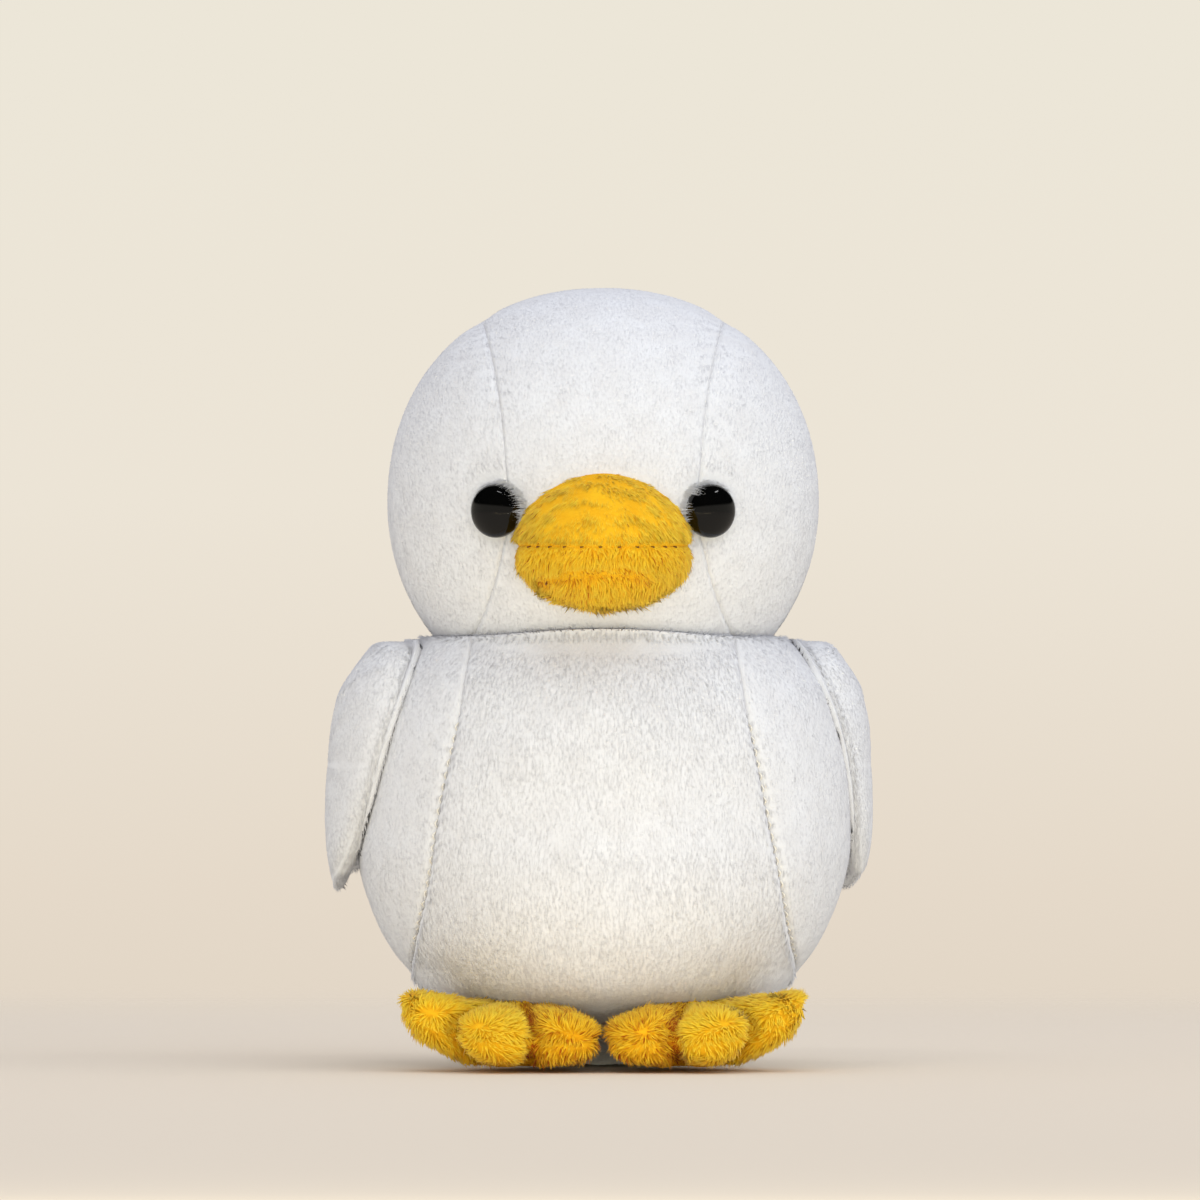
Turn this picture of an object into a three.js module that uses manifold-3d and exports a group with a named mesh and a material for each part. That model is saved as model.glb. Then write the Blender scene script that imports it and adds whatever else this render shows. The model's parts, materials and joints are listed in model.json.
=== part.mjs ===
// A sitting plush duck: a round head on an egg-shaped body, two hanging wings, a short bill, a tail and two feet.
// Every soft part is a fabric cover, cut into the panels it is sewn from, round a fibre filling of its own.
// Millimetres, +Z up. The duck looks along -Y, so its left wing is on +X. It stands on z = 0.
import * as THREE from "three";
import { mergeVertices } from "three/addons/utils/BufferGeometryUtils.js";
import Module from "manifold-3d";

const wasm = await Module();
wasm.setup();

// Fabric: a knitted backing with its pile, and a thin lining on the wings' inner sides. Pieces that touch keep the gap.
const coverThickness = 2.2;
const liningThickness = 1.2;
const pileDepth = 1.3;
const gap = 0.3;

// Body: widest a little below its middle, with full shoulders and a taper to a flat base.
const bodyHalfWidth = 56.5;
const bodyHalfDepth = 54;
const bodyTopZ = 106;
const bellyZ = 50;
const belowBelly = 57;
const shoulderSquareness = 3;
const hipSquareness = 1.7;
const rumpShift = 6;
const baseSeamZ = 7;
// The belly panel spreads from its width at the neck to its width at the base.
const bellySeamHalfWidthAtNeck = 28;
const bellySeamHalfWidthAtBase = 48.5;

// Head: a ball, a little squarer above its middle and a little flatter from front to back.
const headRadius = 49.5;
const headHalfDepth = 47.5;
const headAboveBody = 21;
const crownSquareness = 2.15;
const headCentreZ = bodyTopZ + headAboveBody;
// The middle panel runs from chin to nape over the crown. It is narrowest level with the ball's middle.
const gussetCrownHalfWidth = 30;
const gussetWaistHalfWidth = 22;
const gussetChinHalfWidth = 42;

// Neck: the head's ball sits in a dish in the body. A wad of filling closes the opening between them.
const seatGap = 0.8;
const neckRadius = 20;
const neckWadDepth = 6;

// Bag of pellets that weighs the base down.
const pelletBagRadius = 21;
const pelletBagHeight = 14;
const pelletBagFlat = 1;

// Bill: an upper and a lower panel that meet in a level seam.
const billDrop = 9.4;
const billHalfWidth = 20.5;
const billReach = 27;
const billSunk = 7.5;
const billRootDepth = 9;
const billAbove = 17.2;
const billBelow = 14.8;
const billEdgeTaper = 0.3;

// Eyes: a domed black button with a ribbed stem, held by a washer behind the fabric.
const eyeHalfSpacing = 24.8;
const eyeDrop = 2;
const eyeRadius = 6;
const eyeDome = 3.6;
const eyeRim = 1.2;
const stemRadius = 1.7;
const stemLength = 9;
const stemRib = 0.35;
const stemRibCount = 3;
const washerRadius = 5;
const washerThickness = 1.6;
const washerDish = 0.5;
const washerFit = 0.15;

// Wings: pads that hang from the shoulders along the body's sides, swept back and flared at the tip.
const wingHalfSpan = 29;
const wingHalfChord = 25;
const wingTopDrop = 8;
const wingBackset = 1.5;
const wingSweep = 8;
const wingSeamHeight = 3;
const wingOuterCrown = 3.2;
const wingShoulderFullness = 0.5;
const wingInnerCrown = 5;
const wingShoulderDrop = 14;
const wingTipFlare = 1.5;
const wingLobeAngle = 36;
const wingLobeDepth = 0.1;
const wingTurnBack = { left: 16, right: 0 };

// Feet: pads with three round toes. The outer side curls up.
const footX = 19.5;
const footOut = 5.4;
const footHalfHeight = 8;
const footFlat = 0.5;
const toeReach = 18.5;
const toeRadius = 8.6;
const toeDirections = [-122, -78, -24];
const toeGroove = 0.4;
const toeCurl = 8;
const footPadRadius = 17;

// Tail: a short pad that points up and back.
const tailZ = 51.5;
const tailSunk = 4;
const tailHalfWidth = 15;
const tailReach = 20;
const tailRootDepth = 10;
const tailHalfHeight = 8.5;
const tailTilt = 32;

// Steps round, and steps from pole to pole.
const sackSteps = [28, 14];
const sackCoreSteps = [16, 8];
const seatSteps = [28, 20];
const padSteps = [20, 8];
const padCoreSteps = [16, 6];
const lobedSteps = [28, 8];
const lobedCoreSteps = [28, 4];
const bagSteps = [14, 6];
const neckSteps = 24;
const eyeSteps = 18;
const pocketSteps = 12;
const panelSteps = 8;

const degree = Math.PI / 180;
const beyond = 200;
const whitePlush = { color: "#f1f0ee", roughness: 0.95, metalness: 0 };
const yellowPlush = { color: "#f0b323", roughness: 0.95, metalness: 0 };
const fibre = { color: "#e9e7e1", roughness: 1, metalness: 0 };
const pelletCloth = { color: "#cbc6ba", roughness: 0.9, metalness: 0 };
const blackGloss = { color: "#0b0a0a", roughness: 0.12, metalness: 0 };
const whitePlastic = { color: "#dddbd5", roughness: 0.5, metalness: 0 };

// A closed surface from rings between two poles. point(turn, rise) has turn from 0 to 1 anticlockwise round, and rise
// from 0 at the lower pole to 1 at the upper one. Its upper half has the same diagonals as its lower half.
function closedSurface([columns, rows], point) {
  const positions = [];
  const index = [];
  const at = (row, column) => 1 + (row - 1) * columns + (column % columns);
  const top = 1 + (rows - 1) * columns;
  positions.push(...point(0, 0));
  for (let row = 1; row < rows; row++) {
    for (let column = 0; column < columns; column++) positions.push(...point(column / columns, row / rows));
  }
  positions.push(...point(0, 1));
  for (let column = 0; column < columns; column++) {
    index.push(0, at(1, column + 1), at(1, column));
    for (let row = 1; row < rows - 1; row++) {
      const [low, lowNext] = [at(row, column), at(row, column + 1)];
      const [high, highNext] = [at(row + 1, column), at(row + 1, column + 1)];
      if (row < rows / 2) index.push(low, lowNext, highNext, low, highNext, high);
      else index.push(low, lowNext, high, lowNext, highNext, high);
    }
    index.push(top, at(rows - 1, column), at(rows - 1, column + 1));
  }
  const geometry = new THREE.BufferGeometry();
  geometry.setAttribute("position", new THREE.Float32BufferAttribute(positions, 3));
  geometry.setIndex(index);
  return geometry;
}

// A geometry moved by a matrix. A mirroring matrix turns the faces inside out, so they are wound the other way.
function placed(geometry, matrix) {
  geometry.applyMatrix4(matrix);
  if (matrix.determinant() < 0) geometry.setIndex([...geometry.index.array].reverse());
  return geometry;
}

function solidOf(geometry) {
  const bare = new THREE.BufferGeometry();
  bare.setAttribute("position", geometry.getAttribute("position"));
  bare.setIndex(geometry.index);
  const merged = mergeVertices(bare, 1e-4);
  const mesh = new wasm.Mesh({
    numProp: 3,
    vertProperties: new Float32Array(merged.getAttribute("position").array),
    triVerts: new Uint32Array(merged.index.array),
  });
  return new wasm.Manifold(mesh);
}

function geometryOf(solid) {
  const mesh = solid.getMesh();
  const geometry = new THREE.BufferGeometry();
  geometry.setAttribute("position", new THREE.BufferAttribute(new Float32Array(mesh.vertProperties), 3));
  geometry.setIndex(new THREE.BufferAttribute(new Uint32Array(mesh.triVerts), 1));
  geometry.computeVertexNormals();
  return geometry;
}

function cut(solid, ...others) {
  return others.reduce((left, other) => left.subtract(other), solid);
}

// The space between two corners.
function block(low, high) {
  const size = high.map((value, i) => value - low[i]);
  const middle = high.map((value, i) => (value + low[i]) / 2);
  return solidOf(new THREE.BoxGeometry(...size).translate(...middle));
}

const spaceBelow = (z) => block([-beyond, -beyond, -beyond], [beyond, beyond, z]);
const spaceAbove = (z) => block([-beyond, -beyond, z], [beyond, beyond, beyond]);
const leftSpace = () => block([gap / 2, -beyond, -beyond], [beyond, beyond, beyond]);
const rightSpace = () => block([-beyond, -beyond, -beyond], [-gap / 2, beyond, beyond]);

function uprightCylinder(radius, lowZ, highZ, steps = neckSteps) {
  return new THREE.CylinderGeometry(radius, radius, highZ - lowZ, steps)
    .rotateX(Math.PI / 2)
    .translate(0, 0, (lowZ + highZ) / 2);
}

// A band symmetrical about X = 0, whose half width changes with the height, carried along Y.
function band(lowZ, highZ, halfWidthAt, lowY, highY) {
  const outline = new THREE.Shape();
  const heights = Array.from({ length: panelSteps + 1 }, (_, i) => lowZ + ((highZ - lowZ) * i) / panelSteps);
  outline.moveTo(-halfWidthAt(lowZ), lowZ);
  for (const z of heights) outline.lineTo(halfWidthAt(z), z);
  for (const z of heights.toReversed()) outline.lineTo(-halfWidthAt(z), z);
  const plate = new THREE.ExtrudeGeometry(outline, { depth: highY - lowY, bevelEnabled: false });
  plate.rotateX(Math.PI / 2).translate(0, highY, 0);
  const corners = plate.getAttribute("position").count;
  plate.setIndex(Array.from({ length: corners }, (_, i) => i));
  return solidOf(plate);
}

// The distance from the centre to a superellipse, in the direction whose parts are given in shares of its half axes.
function superReach(across, up, power) {
  return (Math.abs(across) ** power + Math.abs(up) ** power) ** (-1 / power);
}

// Head, round the middle of its ball: superellipses through the poles, squarer above the middle.
function headForm(inset, steps) {
  return closedSurface(steps, (turn, rise) => {
    const around = 2 * Math.PI * turn;
    const up = Math.PI * (rise - 0.5);
    const direction = new THREE.Vector3(
      Math.cos(up) * Math.cos(around),
      Math.cos(up) * Math.sin(around),
      Math.sin(up),
    );
    const level = Math.hypot(direction.x / (headRadius - inset), direction.y / (headHalfDepth - inset));
    const power = up > 0 ? crownSquareness : 2;
    return direction.multiplyScalar(superReach(level, direction.z / (headRadius - inset), power));
  });
}

// The body's girth at a height, as a share of its girth at the belly, and how far its middle lies back there.
function girthAt(z) {
  const rise = z > bellyZ ? (z - bellyZ) / (bodyTopZ - bellyZ) : (bellyZ - z) / belowBelly;
  const power = z > bellyZ ? shoulderSquareness : hipSquareness;
  return Math.max(0, 1 - rise ** power) ** (1 / power);
}

function middleAt(z) {
  return z < bellyZ ? rumpShift * (1 - z / bellyZ) ** 2 : 0;
}

// Body: level ovals whose girth follows one superellipse above the belly and another below it.
function bodyForm(inset, steps) {
  return closedSurface(steps, (turn, rise) => {
    const around = 2 * Math.PI * turn;
    const up = Math.PI * (rise - 0.5);
    const power = up > 0 ? shoulderSquareness : hipSquareness;
    const height = (up > 0 ? bodyTopZ - bellyZ : belowBelly) - inset;
    const z = bellyZ + Math.sign(up) * height * Math.abs(Math.sin(up)) ** (2 / power);
    const girth = Math.abs(Math.cos(up)) ** (2 / power);
    return new THREE.Vector3(
      (bodyHalfWidth - inset) * girth * Math.cos(around),
      middleAt(z) + (bodyHalfDepth - inset) * girth * Math.sin(around),
      z,
    );
  });
}

function bodySack(inset, steps) {
  return cut(solidOf(bodyForm(inset, steps)), spaceBelow(inset));
}

function headSeat(grow) {
  const seat = new THREE.SphereGeometry(headRadius + seatGap + grow, ...seatSteps);
  return solidOf(seat.rotateX(Math.PI / 2).translate(0, 0, headCentreZ));
}

// A stuffed pad: two panels sewn together round an outline, each with a crown. The outline gives the distance from the
// middle in each direction of local X and Y, the crowns rise along local Z, and bend carries it all into place.
// keep drops what lies past the seam on one side, or nothing where it is 0.
function padForm(pad, inset, steps, keep = 0) {
  const outline = inset > 0 && pad.coreOutline ? pad.coreOutline : pad.outline;
  const form = closedSurface(steps, (turn, rise) => {
    const around = 2 * Math.PI * turn;
    const up = Math.PI * (rise - 0.5);
    const share = Math.cos(up);
    const height = (1 - share ** pad.squareness) ** (1 / pad.squareness);
    const crown = (up > 0 ? pad.above : pad.below) - inset;
    const reach = (outline(around) - inset) * share;
    const z = Math.sign(up) * crown * height * (pad.relief?.(around, share) ?? 1);
    const kept = keep === 0 ? z : keep * Math.max(keep * z, gap / 2);
    const point = new THREE.Vector3(reach * Math.cos(around), reach * Math.sin(around), kept);
    return pad.bend?.(point) ?? point;
  });
  return placed(form, pad.place);
}

// A pad's two panels and its filling. root(grow) is the body that it is sewn to, grown by that much. floor is the
// height at which the pad is pressed flat. A lined pad has fabric on the side of its root as well.
function stuffedPad(pad, root, { steps, coreSteps, floor = null, lined = false }) {
  const pressed = (inset, density) => {
    const whole = solidOf(padForm(pad, inset, density));
    return floor === null ? whole : cut(whole, spaceBelow(floor + inset));
  };
  const lining = lined ? liningThickness : 0;
  const core = pressed(coverThickness, coreSteps);
  const hollow = lined ? cut(core, root(gap + lining)) : core;
  const cover = cut(pressed(0, steps), hollow, root(gap));
  return {
    over: cover.intersect(solidOf(padForm(pad, -coverThickness, steps, 1))),
    under: cover.intersect(solidOf(padForm(pad, -coverThickness, steps, -1))),
    filling: cut(pressed(coverThickness + gap, coreSteps), root(2 * gap + lining)),
  };
}

// The room for an eye's button outside the head. The flats of its sides keep the gap, and its corners lie farther out.
function eyeRoom(place) {
  const radius = (eyeRadius + gap) / Math.cos(Math.PI / pocketSteps);
  return solidOf(uprightCylinder(radius, -gap / 2, beyond / 4, pocketSteps).applyMatrix4(place));
}

function headPieces(eyePlaces) {
  const opening = solidOf(uprightCylinder(neckRadius, -beyond, 0));
  const plug = solidOf(uprightCylinder(neckRadius - gap, -beyond, 0));
  const outer = solidOf(headForm(0, sackSteps));
  const backing = coverThickness - pileDepth;
  let cover = cut(outer, solidOf(headForm(coverThickness, sackCoreSteps)), opening);
  let filling = solidOf(headForm(coverThickness + gap, sackCoreSteps)).add(plug.intersect(outer));
  for (const place of eyePlaces) {
    const pocket = (radius, low, high) =>
      solidOf(uprightCylinder(radius, low, high, pocketSteps).applyMatrix4(place));
    cover = cut(
      cover,
      eyeRoom(place),
      pocket(stemRadius + gap, -stemLength, gap),
      pocket(washerRadius + gap, -stemLength, -backing),
    );
    filling = cut(filling, pocket(washerRadius + gap, -stemLength - gap, 0));
  }
  const halfWidthAt = (z) => {
    const end = z > 0 ? gussetCrownHalfWidth : gussetChinHalfWidth;
    return gussetWaistHalfWidth + (end - gussetWaistHalfWidth) * (z / headRadius) ** 2;
  };
  const gusset = (grow) =>
    band(-1.1 * headRadius, 1.1 * headRadius, (z) => halfWidthAt(z) + grow, -beyond, beyond);
  const sides = cut(cover, gusset(gap / 2));
  return {
    gusset: cover.intersect(gusset(-gap / 2)),
    left: sides.intersect(leftSpace()),
    right: sides.intersect(rightSpace()),
    filling,
  };
}

// The pellet bag: a flat round cushion, pressed flat where it lies on the base.
function pelletBag(grow) {
  const middleZ = coverThickness + gap - pelletBagFlat + pelletBagHeight / 2;
  const form = closedSurface(bagSteps, (turn, rise) => {
    const up = Math.PI * (rise - 0.5);
    const across = (pelletBagRadius + grow) * Math.cos(up) ** 0.85;
    return new THREE.Vector3(
      across * Math.cos(2 * Math.PI * turn),
      middleAt(middleZ) + across * Math.sin(2 * Math.PI * turn),
      middleZ + (pelletBagHeight / 2 + grow) * Math.sin(up),
    );
  });
  return cut(solidOf(form), spaceBelow(coverThickness + gap - grow));
}

function bodyPieces() {
  const inner = cut(bodySack(coverThickness, sackCoreSteps), headSeat(coverThickness));
  const opening = solidOf(uprightCylinder(neckRadius, bellyZ, beyond));
  const cover = cut(bodySack(0, sackSteps), headSeat(0), inner, opening);
  const upper = cover.intersect(spaceAbove(baseSeamZ + gap / 2));
  const spread = (bellySeamHalfWidthAtNeck - bellySeamHalfWidthAtBase) / bodyTopZ;
  const belly = (grow) =>
    band(0, bodyTopZ, (z) => bellySeamHalfWidthAtBase + spread * z + grow, -beyond, grow);
  const rest = cut(upper, belly(gap / 2));
  const wadFloorZ = headCentreZ - headRadius - seatGap - neckWadDepth;
  return {
    belly: upper.intersect(belly(-gap / 2)),
    left: rest.intersect(leftSpace()),
    right: rest.intersect(rightSpace()),
    base: cover.intersect(spaceBelow(baseSeamZ - gap / 2)),
    filling: cut(
      bodySack(coverThickness + gap, sackCoreSteps),
      headSeat(coverThickness + gap),
      solidOf(uprightCylinder(neckRadius, wadFloorZ - gap, beyond)),
      pelletBag(gap),
    ),
    wad: cut(solidOf(uprightCylinder(neckRadius - gap, wadFloorZ, headCentreZ)), headSeat(0)),
    bag: pelletBag(0),
  };
}

// A point of a lathe's outline, at a radius and a height.
const ring = (radius, z) => new THREE.Vector2(radius, z);

function turnedSolid(points) {
  return new THREE.LatheGeometry(points, eyeSteps).rotateX(Math.PI / 2);
}

// Eye: the back of the button is at local z = 0, its stem runs down from there and its dome stands up.
function eyeGeometry() {
  const pitch = (stemLength - washerThickness - coverThickness) / stemRibCount;
  const ribs = Array.from({ length: stemRibCount }, (_, i) => -stemLength + pitch * (i + 0.5));
  const dome = [0, 22, 44, 62, 78].map((angle) => angle * degree);
  return turnedSolid([
    ring(0, -stemLength),
    ring(stemRadius, -stemLength),
    ...ribs.flatMap((z) => [ring(stemRadius, z), ring(stemRadius + stemRib, z + pitch / 3)]),
    ring(stemRadius, -stemLength + pitch * stemRibCount),
    ring(stemRadius, 0),
    ring(eyeRadius, 0),
    ...dome.map((angle) => ring(eyeRadius * Math.cos(angle), eyeRim + eyeDome * Math.sin(angle))),
    ring(0, eyeRim + eyeDome),
  ]);
}

// Washer: a dished ring round the stem.
function washerGeometry() {
  const bore = stemRadius + stemRib + washerFit;
  const half = washerThickness / 2;
  return turnedSolid([
    ring(bore, -half),
    ring(washerRadius, washerDish - half),
    ring(washerRadius, half),
    ring(bore, half),
    ring(bore, -half),
  ]);
}

// Where an eye sits in the head's frame: on the fabric's backing, with its dome pointing out of the head.
function eyePlace(side) {
  const across = (side * eyeHalfSpacing) / headRadius;
  const up = -eyeDrop / headRadius;
  const out = new THREE.Vector3(across, -Math.sqrt(1 - across ** 2 - up ** 2), up);
  const scaled = new THREE.Vector3(out.x / headRadius, out.y / headHalfDepth, out.z / headRadius);
  const turn = new THREE.Quaternion().setFromUnitVectors(new THREE.Vector3(0, 0, 1), out);
  const at = out.clone().multiplyScalar(1 / scaled.length() - pileDepth + gap / 2);
  return new THREE.Matrix4().compose(at, turn, new THREE.Vector3(1, 1, 1));
}

// An oval, longer towards -Y than towards +Y, or the other way round.
function oval(halfWidth, frontReach, backReach) {
  return (around) => {
    const reach = Math.sin(around) < 0 ? frontReach : backReach;
    return superReach(Math.cos(around) / halfWidth, Math.sin(around) / reach, 2);
  };
}

// The bill lies in the head's frame. Its crown thins to an edge at the front, and its root stays clear of the eyes.
function billPieces(eyePlaces) {
  const pad = {
    outline: oval(billHalfWidth, billReach, billRootDepth),
    above: billAbove,
    below: billBelow,
    squareness: 2,
    relief: (around, share) => (1 - share ** 2) ** (billEdgeTaper * Math.max(0, -Math.sin(around))),
    place: new THREE.Matrix4().makeTranslation(0, billSunk - headHalfDepth, -billDrop),
  };
  const root = (grow) => solidOf(headForm(-grow, sackSteps));
  const { over, under, filling } = stuffedPad(pad, root, { steps: padSteps, coreSteps: padCoreSteps });
  const rooms = eyePlaces.map(eyeRoom);
  return { over: cut(over, ...rooms), under: cut(under, ...rooms), filling: cut(filling, ...rooms) };
}

const bodyRoot = (grow) => solidOf(bodyForm(-grow, sackSteps));

// A wing lies along the body's side: local X is its chord, towards the tail, and local Y its span, upwards. Its rear and
// lower edge has feather lobes.
function wingPieces(side) {
  const centreZ = bodyTopZ - wingTopDrop - wingHalfSpan;
  const plain = (around) => superReach(Math.cos(around) / wingHalfChord, Math.sin(around) / wingHalfSpan, 2.2);
  const behind = (around) => THREE.MathUtils.smoothstep(Math.cos(around + 42 * degree), 0.2, 0.7);
  const notch = (around) => 1 - Math.abs(Math.cos((around / degree + 90) * (Math.PI / wingLobeAngle)));
  const bend = (point) => {
    const z = centreZ + point.y;
    const y = wingBackset + point.x - (wingSweep * point.y) / wingHalfSpan;
    const nearest = THREE.MathUtils.clamp(z, bellyZ, bodyTopZ - wingShoulderDrop);
    const flare = wingTipFlare * Math.max(0, -point.y / wingHalfSpan) ** 2;
    const back = Math.min(0.96, Math.abs(y) / (bodyHalfDepth * girthAt(nearest)));
    const x = bodyHalfWidth * girthAt(nearest) * Math.sqrt(1 - back ** 2);
    return new THREE.Vector3(x + wingSeamHeight + flare + point.z, y, z);
  };
  const turnBack = (side > 0 ? wingTurnBack.left : wingTurnBack.right) * degree;
  const mirror = new THREE.Matrix4().makeScale(side, 1, 1);
  const pad = {
    outline: (around) => plain(around) * (1 - wingLobeDepth * behind(around) * notch(around)),
    coreOutline: (around) => plain(around) * (1 - wingLobeDepth * behind(around)),
    relief: (around, share) => 1 + wingShoulderFullness * share * Math.max(0, Math.sin(around)),
    above: wingOuterCrown,
    below: wingInnerCrown,
    squareness: 3,
    bend,
    place: new THREE.Matrix4().makeRotationZ(side * turnBack).multiply(mirror),
  };
  return stuffedPad(pad, bodyRoot, { steps: lobedSteps, coreSteps: padCoreSteps, lined: true });
}

// A foot's outline: the farthest of three toe circles and a round pad, from the foot's middle.
function footOutline(around) {
  const reaches = toeDirections.map((direction) => {
    const off = around - direction * degree;
    const aside = toeRadius ** 2 - (toeReach * Math.sin(off)) ** 2;
    return Math.cos(off) > 0 && aside > 0 ? toeReach * Math.cos(off) + Math.sqrt(aside) : 0;
  });
  return Math.max(footPadRadius, ...reaches);
}

// The foot's top sinks between the toes, most at the edge.
function footRelief(around, share) {
  const longest = toeReach + toeRadius;
  const ahead = THREE.MathUtils.smoothstep(-Math.sin(around + 15 * degree), -0.2, 0.3);
  const between = (longest - footOutline(around)) / (longest - footPadRadius);
  return 1 - toeGroove * ahead * between * share ** 2;
}

function footPieces(side) {
  const surfaceY = middleAt(footHalfHeight) - bodyHalfDepth * girthAt(footHalfHeight);
  const curl = (x) => toeCurl * (Math.max(0, x) / (toeReach + toeRadius)) ** 2;
  const pad = {
    outline: footOutline,
    above: footHalfHeight,
    below: footHalfHeight,
    squareness: 2.6,
    relief: footRelief,
    bend: (point) => new THREE.Vector3(point.x, point.y, point.z + curl(point.x)),
    place: new THREE.Matrix4().makeScale(side, 1, 1),
  };
  pad.place.setPosition(side * footX, surfaceY - footOut, footHalfHeight - footFlat);
  return stuffedPad(pad, bodyRoot, { steps: lobedSteps, coreSteps: lobedCoreSteps, floor: 0 });
}

function tailPieces() {
  const surfaceY = middleAt(tailZ) + bodyHalfDepth * girthAt(tailZ);
  const turn = new THREE.Matrix4().makeRotationX(tailTilt * degree);
  const pad = {
    outline: oval(tailHalfWidth, tailRootDepth, tailReach),
    above: tailHalfHeight,
    below: tailHalfHeight,
    squareness: 2,
    place: turn.setPosition(0, surfaceY - tailSunk, tailZ),
  };
  return stuffedPad(pad, bodyRoot, { steps: padSteps, coreSteps: padCoreSteps });
}

const duck = new THREE.Group();
const head = new THREE.Group();
head.position.z = headCentreZ;
duck.add(head);

function addPiece(group, name, geometry, look, place = null) {
  const mesh = new THREE.Mesh(geometry, new THREE.MeshStandardMaterial(look));
  mesh.name = name;
  if (place) place.decompose(mesh.position, mesh.quaternion, mesh.scale);
  group.add(mesh);
}

const addSolid = (group, name, solid, look) => addPiece(group, name, geometryOf(solid), look);

const body = bodyPieces();
addSolid(duck, "body_belly_panel", body.belly, whitePlush);
addSolid(duck, "body_side_panel_left", body.left, whitePlush);
addSolid(duck, "body_side_panel_right", body.right, whitePlush);
addSolid(duck, "body_base_panel", body.base, whitePlush);
addSolid(duck, "body_filling", body.filling, fibre);
addSolid(duck, "neck_filling", body.wad, fibre);
addSolid(duck, "pellet_bag", body.bag, pelletCloth);

const tail = tailPieces();
addSolid(duck, "tail_upper", tail.over, whitePlush);
addSolid(duck, "tail_lower", tail.under, whitePlush);
addSolid(duck, "tail_filling", tail.filling, fibre);

const sides = { left: 1, right: -1 };
for (const [name, side] of Object.entries(sides)) {
  const foot = footPieces(side);
  addSolid(duck, `foot_${name}_top`, foot.over, yellowPlush);
  addSolid(duck, `foot_${name}_sole`, foot.under, yellowPlush);
  addSolid(duck, `foot_${name}_filling`, foot.filling, fibre);

  const wing = wingPieces(side);
  addSolid(duck, `wing_${name}_outer`, wing.over, whitePlush);
  addSolid(duck, `wing_${name}_inner`, wing.under, whitePlush);
  addSolid(duck, `wing_${name}_filling`, wing.filling, fibre);
}

const eyePlaces = Object.fromEntries(Object.entries(sides).map(([name, side]) => [name, eyePlace(side)]));
const sack = headPieces(Object.values(eyePlaces));
addSolid(head, "head_gusset", sack.gusset, whitePlush);
addSolid(head, "head_side_left", sack.left, whitePlush);
addSolid(head, "head_side_right", sack.right, whitePlush);
addSolid(head, "head_filling", sack.filling, fibre);

const bill = billPieces(Object.values(eyePlaces));
addSolid(head, "bill_upper", bill.over, yellowPlush);
addSolid(head, "bill_lower", bill.under, yellowPlush);
addSolid(head, "bill_filling", bill.filling, fibre);

const washerDepth = coverThickness - pileDepth + gap / 2 + washerThickness / 2;
for (const [name, place] of Object.entries(eyePlaces)) {
  addPiece(head, `eye_${name}`, eyeGeometry(), blackGloss, place);
  const behind = place.clone().multiply(new THREE.Matrix4().makeTranslation(0, 0, -washerDepth));
  addPiece(head, `eye_washer_${name}`, washerGeometry(), whitePlastic, behind);
}

export default duck;
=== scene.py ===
"""A sitting plush duck: sewn covers with a standing pile, glossy button eyes, thread and filling.

Every cover repeats the form of the solid that it stands for, drawn in by the height of its pile, so that
the tips of the pile lie where the solid's surface is. Shapes are worked out in millimetres, and become
metres where a mesh is made from them.
"""

import json
import math

import bmesh
import bpy
import numpy as np
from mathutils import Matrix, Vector

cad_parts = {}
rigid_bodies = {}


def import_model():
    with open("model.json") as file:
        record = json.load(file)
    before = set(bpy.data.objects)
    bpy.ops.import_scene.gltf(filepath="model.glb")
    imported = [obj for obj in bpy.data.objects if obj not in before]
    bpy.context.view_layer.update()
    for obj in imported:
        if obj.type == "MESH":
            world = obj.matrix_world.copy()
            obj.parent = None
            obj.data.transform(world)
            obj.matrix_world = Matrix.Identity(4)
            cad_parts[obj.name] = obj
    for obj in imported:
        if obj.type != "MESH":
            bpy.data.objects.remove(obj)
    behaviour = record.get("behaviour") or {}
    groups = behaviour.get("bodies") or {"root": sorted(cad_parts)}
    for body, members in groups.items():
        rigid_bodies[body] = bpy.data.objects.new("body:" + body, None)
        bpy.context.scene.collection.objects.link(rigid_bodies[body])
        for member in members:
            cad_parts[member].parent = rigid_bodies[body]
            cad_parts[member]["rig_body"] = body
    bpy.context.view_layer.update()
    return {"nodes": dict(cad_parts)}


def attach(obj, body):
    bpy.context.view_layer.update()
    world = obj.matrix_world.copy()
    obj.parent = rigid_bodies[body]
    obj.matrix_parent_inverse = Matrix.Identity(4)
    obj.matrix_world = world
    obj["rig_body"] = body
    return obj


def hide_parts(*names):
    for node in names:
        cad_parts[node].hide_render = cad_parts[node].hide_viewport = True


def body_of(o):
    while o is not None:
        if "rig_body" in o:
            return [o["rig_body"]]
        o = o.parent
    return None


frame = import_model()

MM = 0.001
DEGREE = math.pi / 180

# Body, as sewn.
BODY_HALF_WIDTH = 56.5
BODY_HALF_DEPTH = 54.0
BODY_TOP = 106.0
BELLY_HEIGHT = 50.0
BELOW_BELLY = 57.0
SHOULDER_POWER = 3.0
HIP_POWER = 1.7
RUMP_SHIFT = 6.0
BELLY_SAG = 9.5
SAG_GROWS_OVER = (4.0, 18.0)
SAG_FADES_OVER = (14.0, 66.0)
BASE_SEAM = 7.0
BELLY_SEAM_AT_NECK = 28.0
BELLY_SEAM_AT_BASE = 48.5
DISH_RADIUS = 49.2
DISH_SHAPE = np.array([1.0, 1.018, 1.0])
DISH_LIP = 14.0
RIM_LOWEST = 60.0
RIM_HIGHEST = 105.9
RIM_AT_FIRST = 97.5
CHEST_RISE = 2.4
CHEST_HALF_WIDTH = 24.0
RIM_FULLNESS = 0.9

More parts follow.
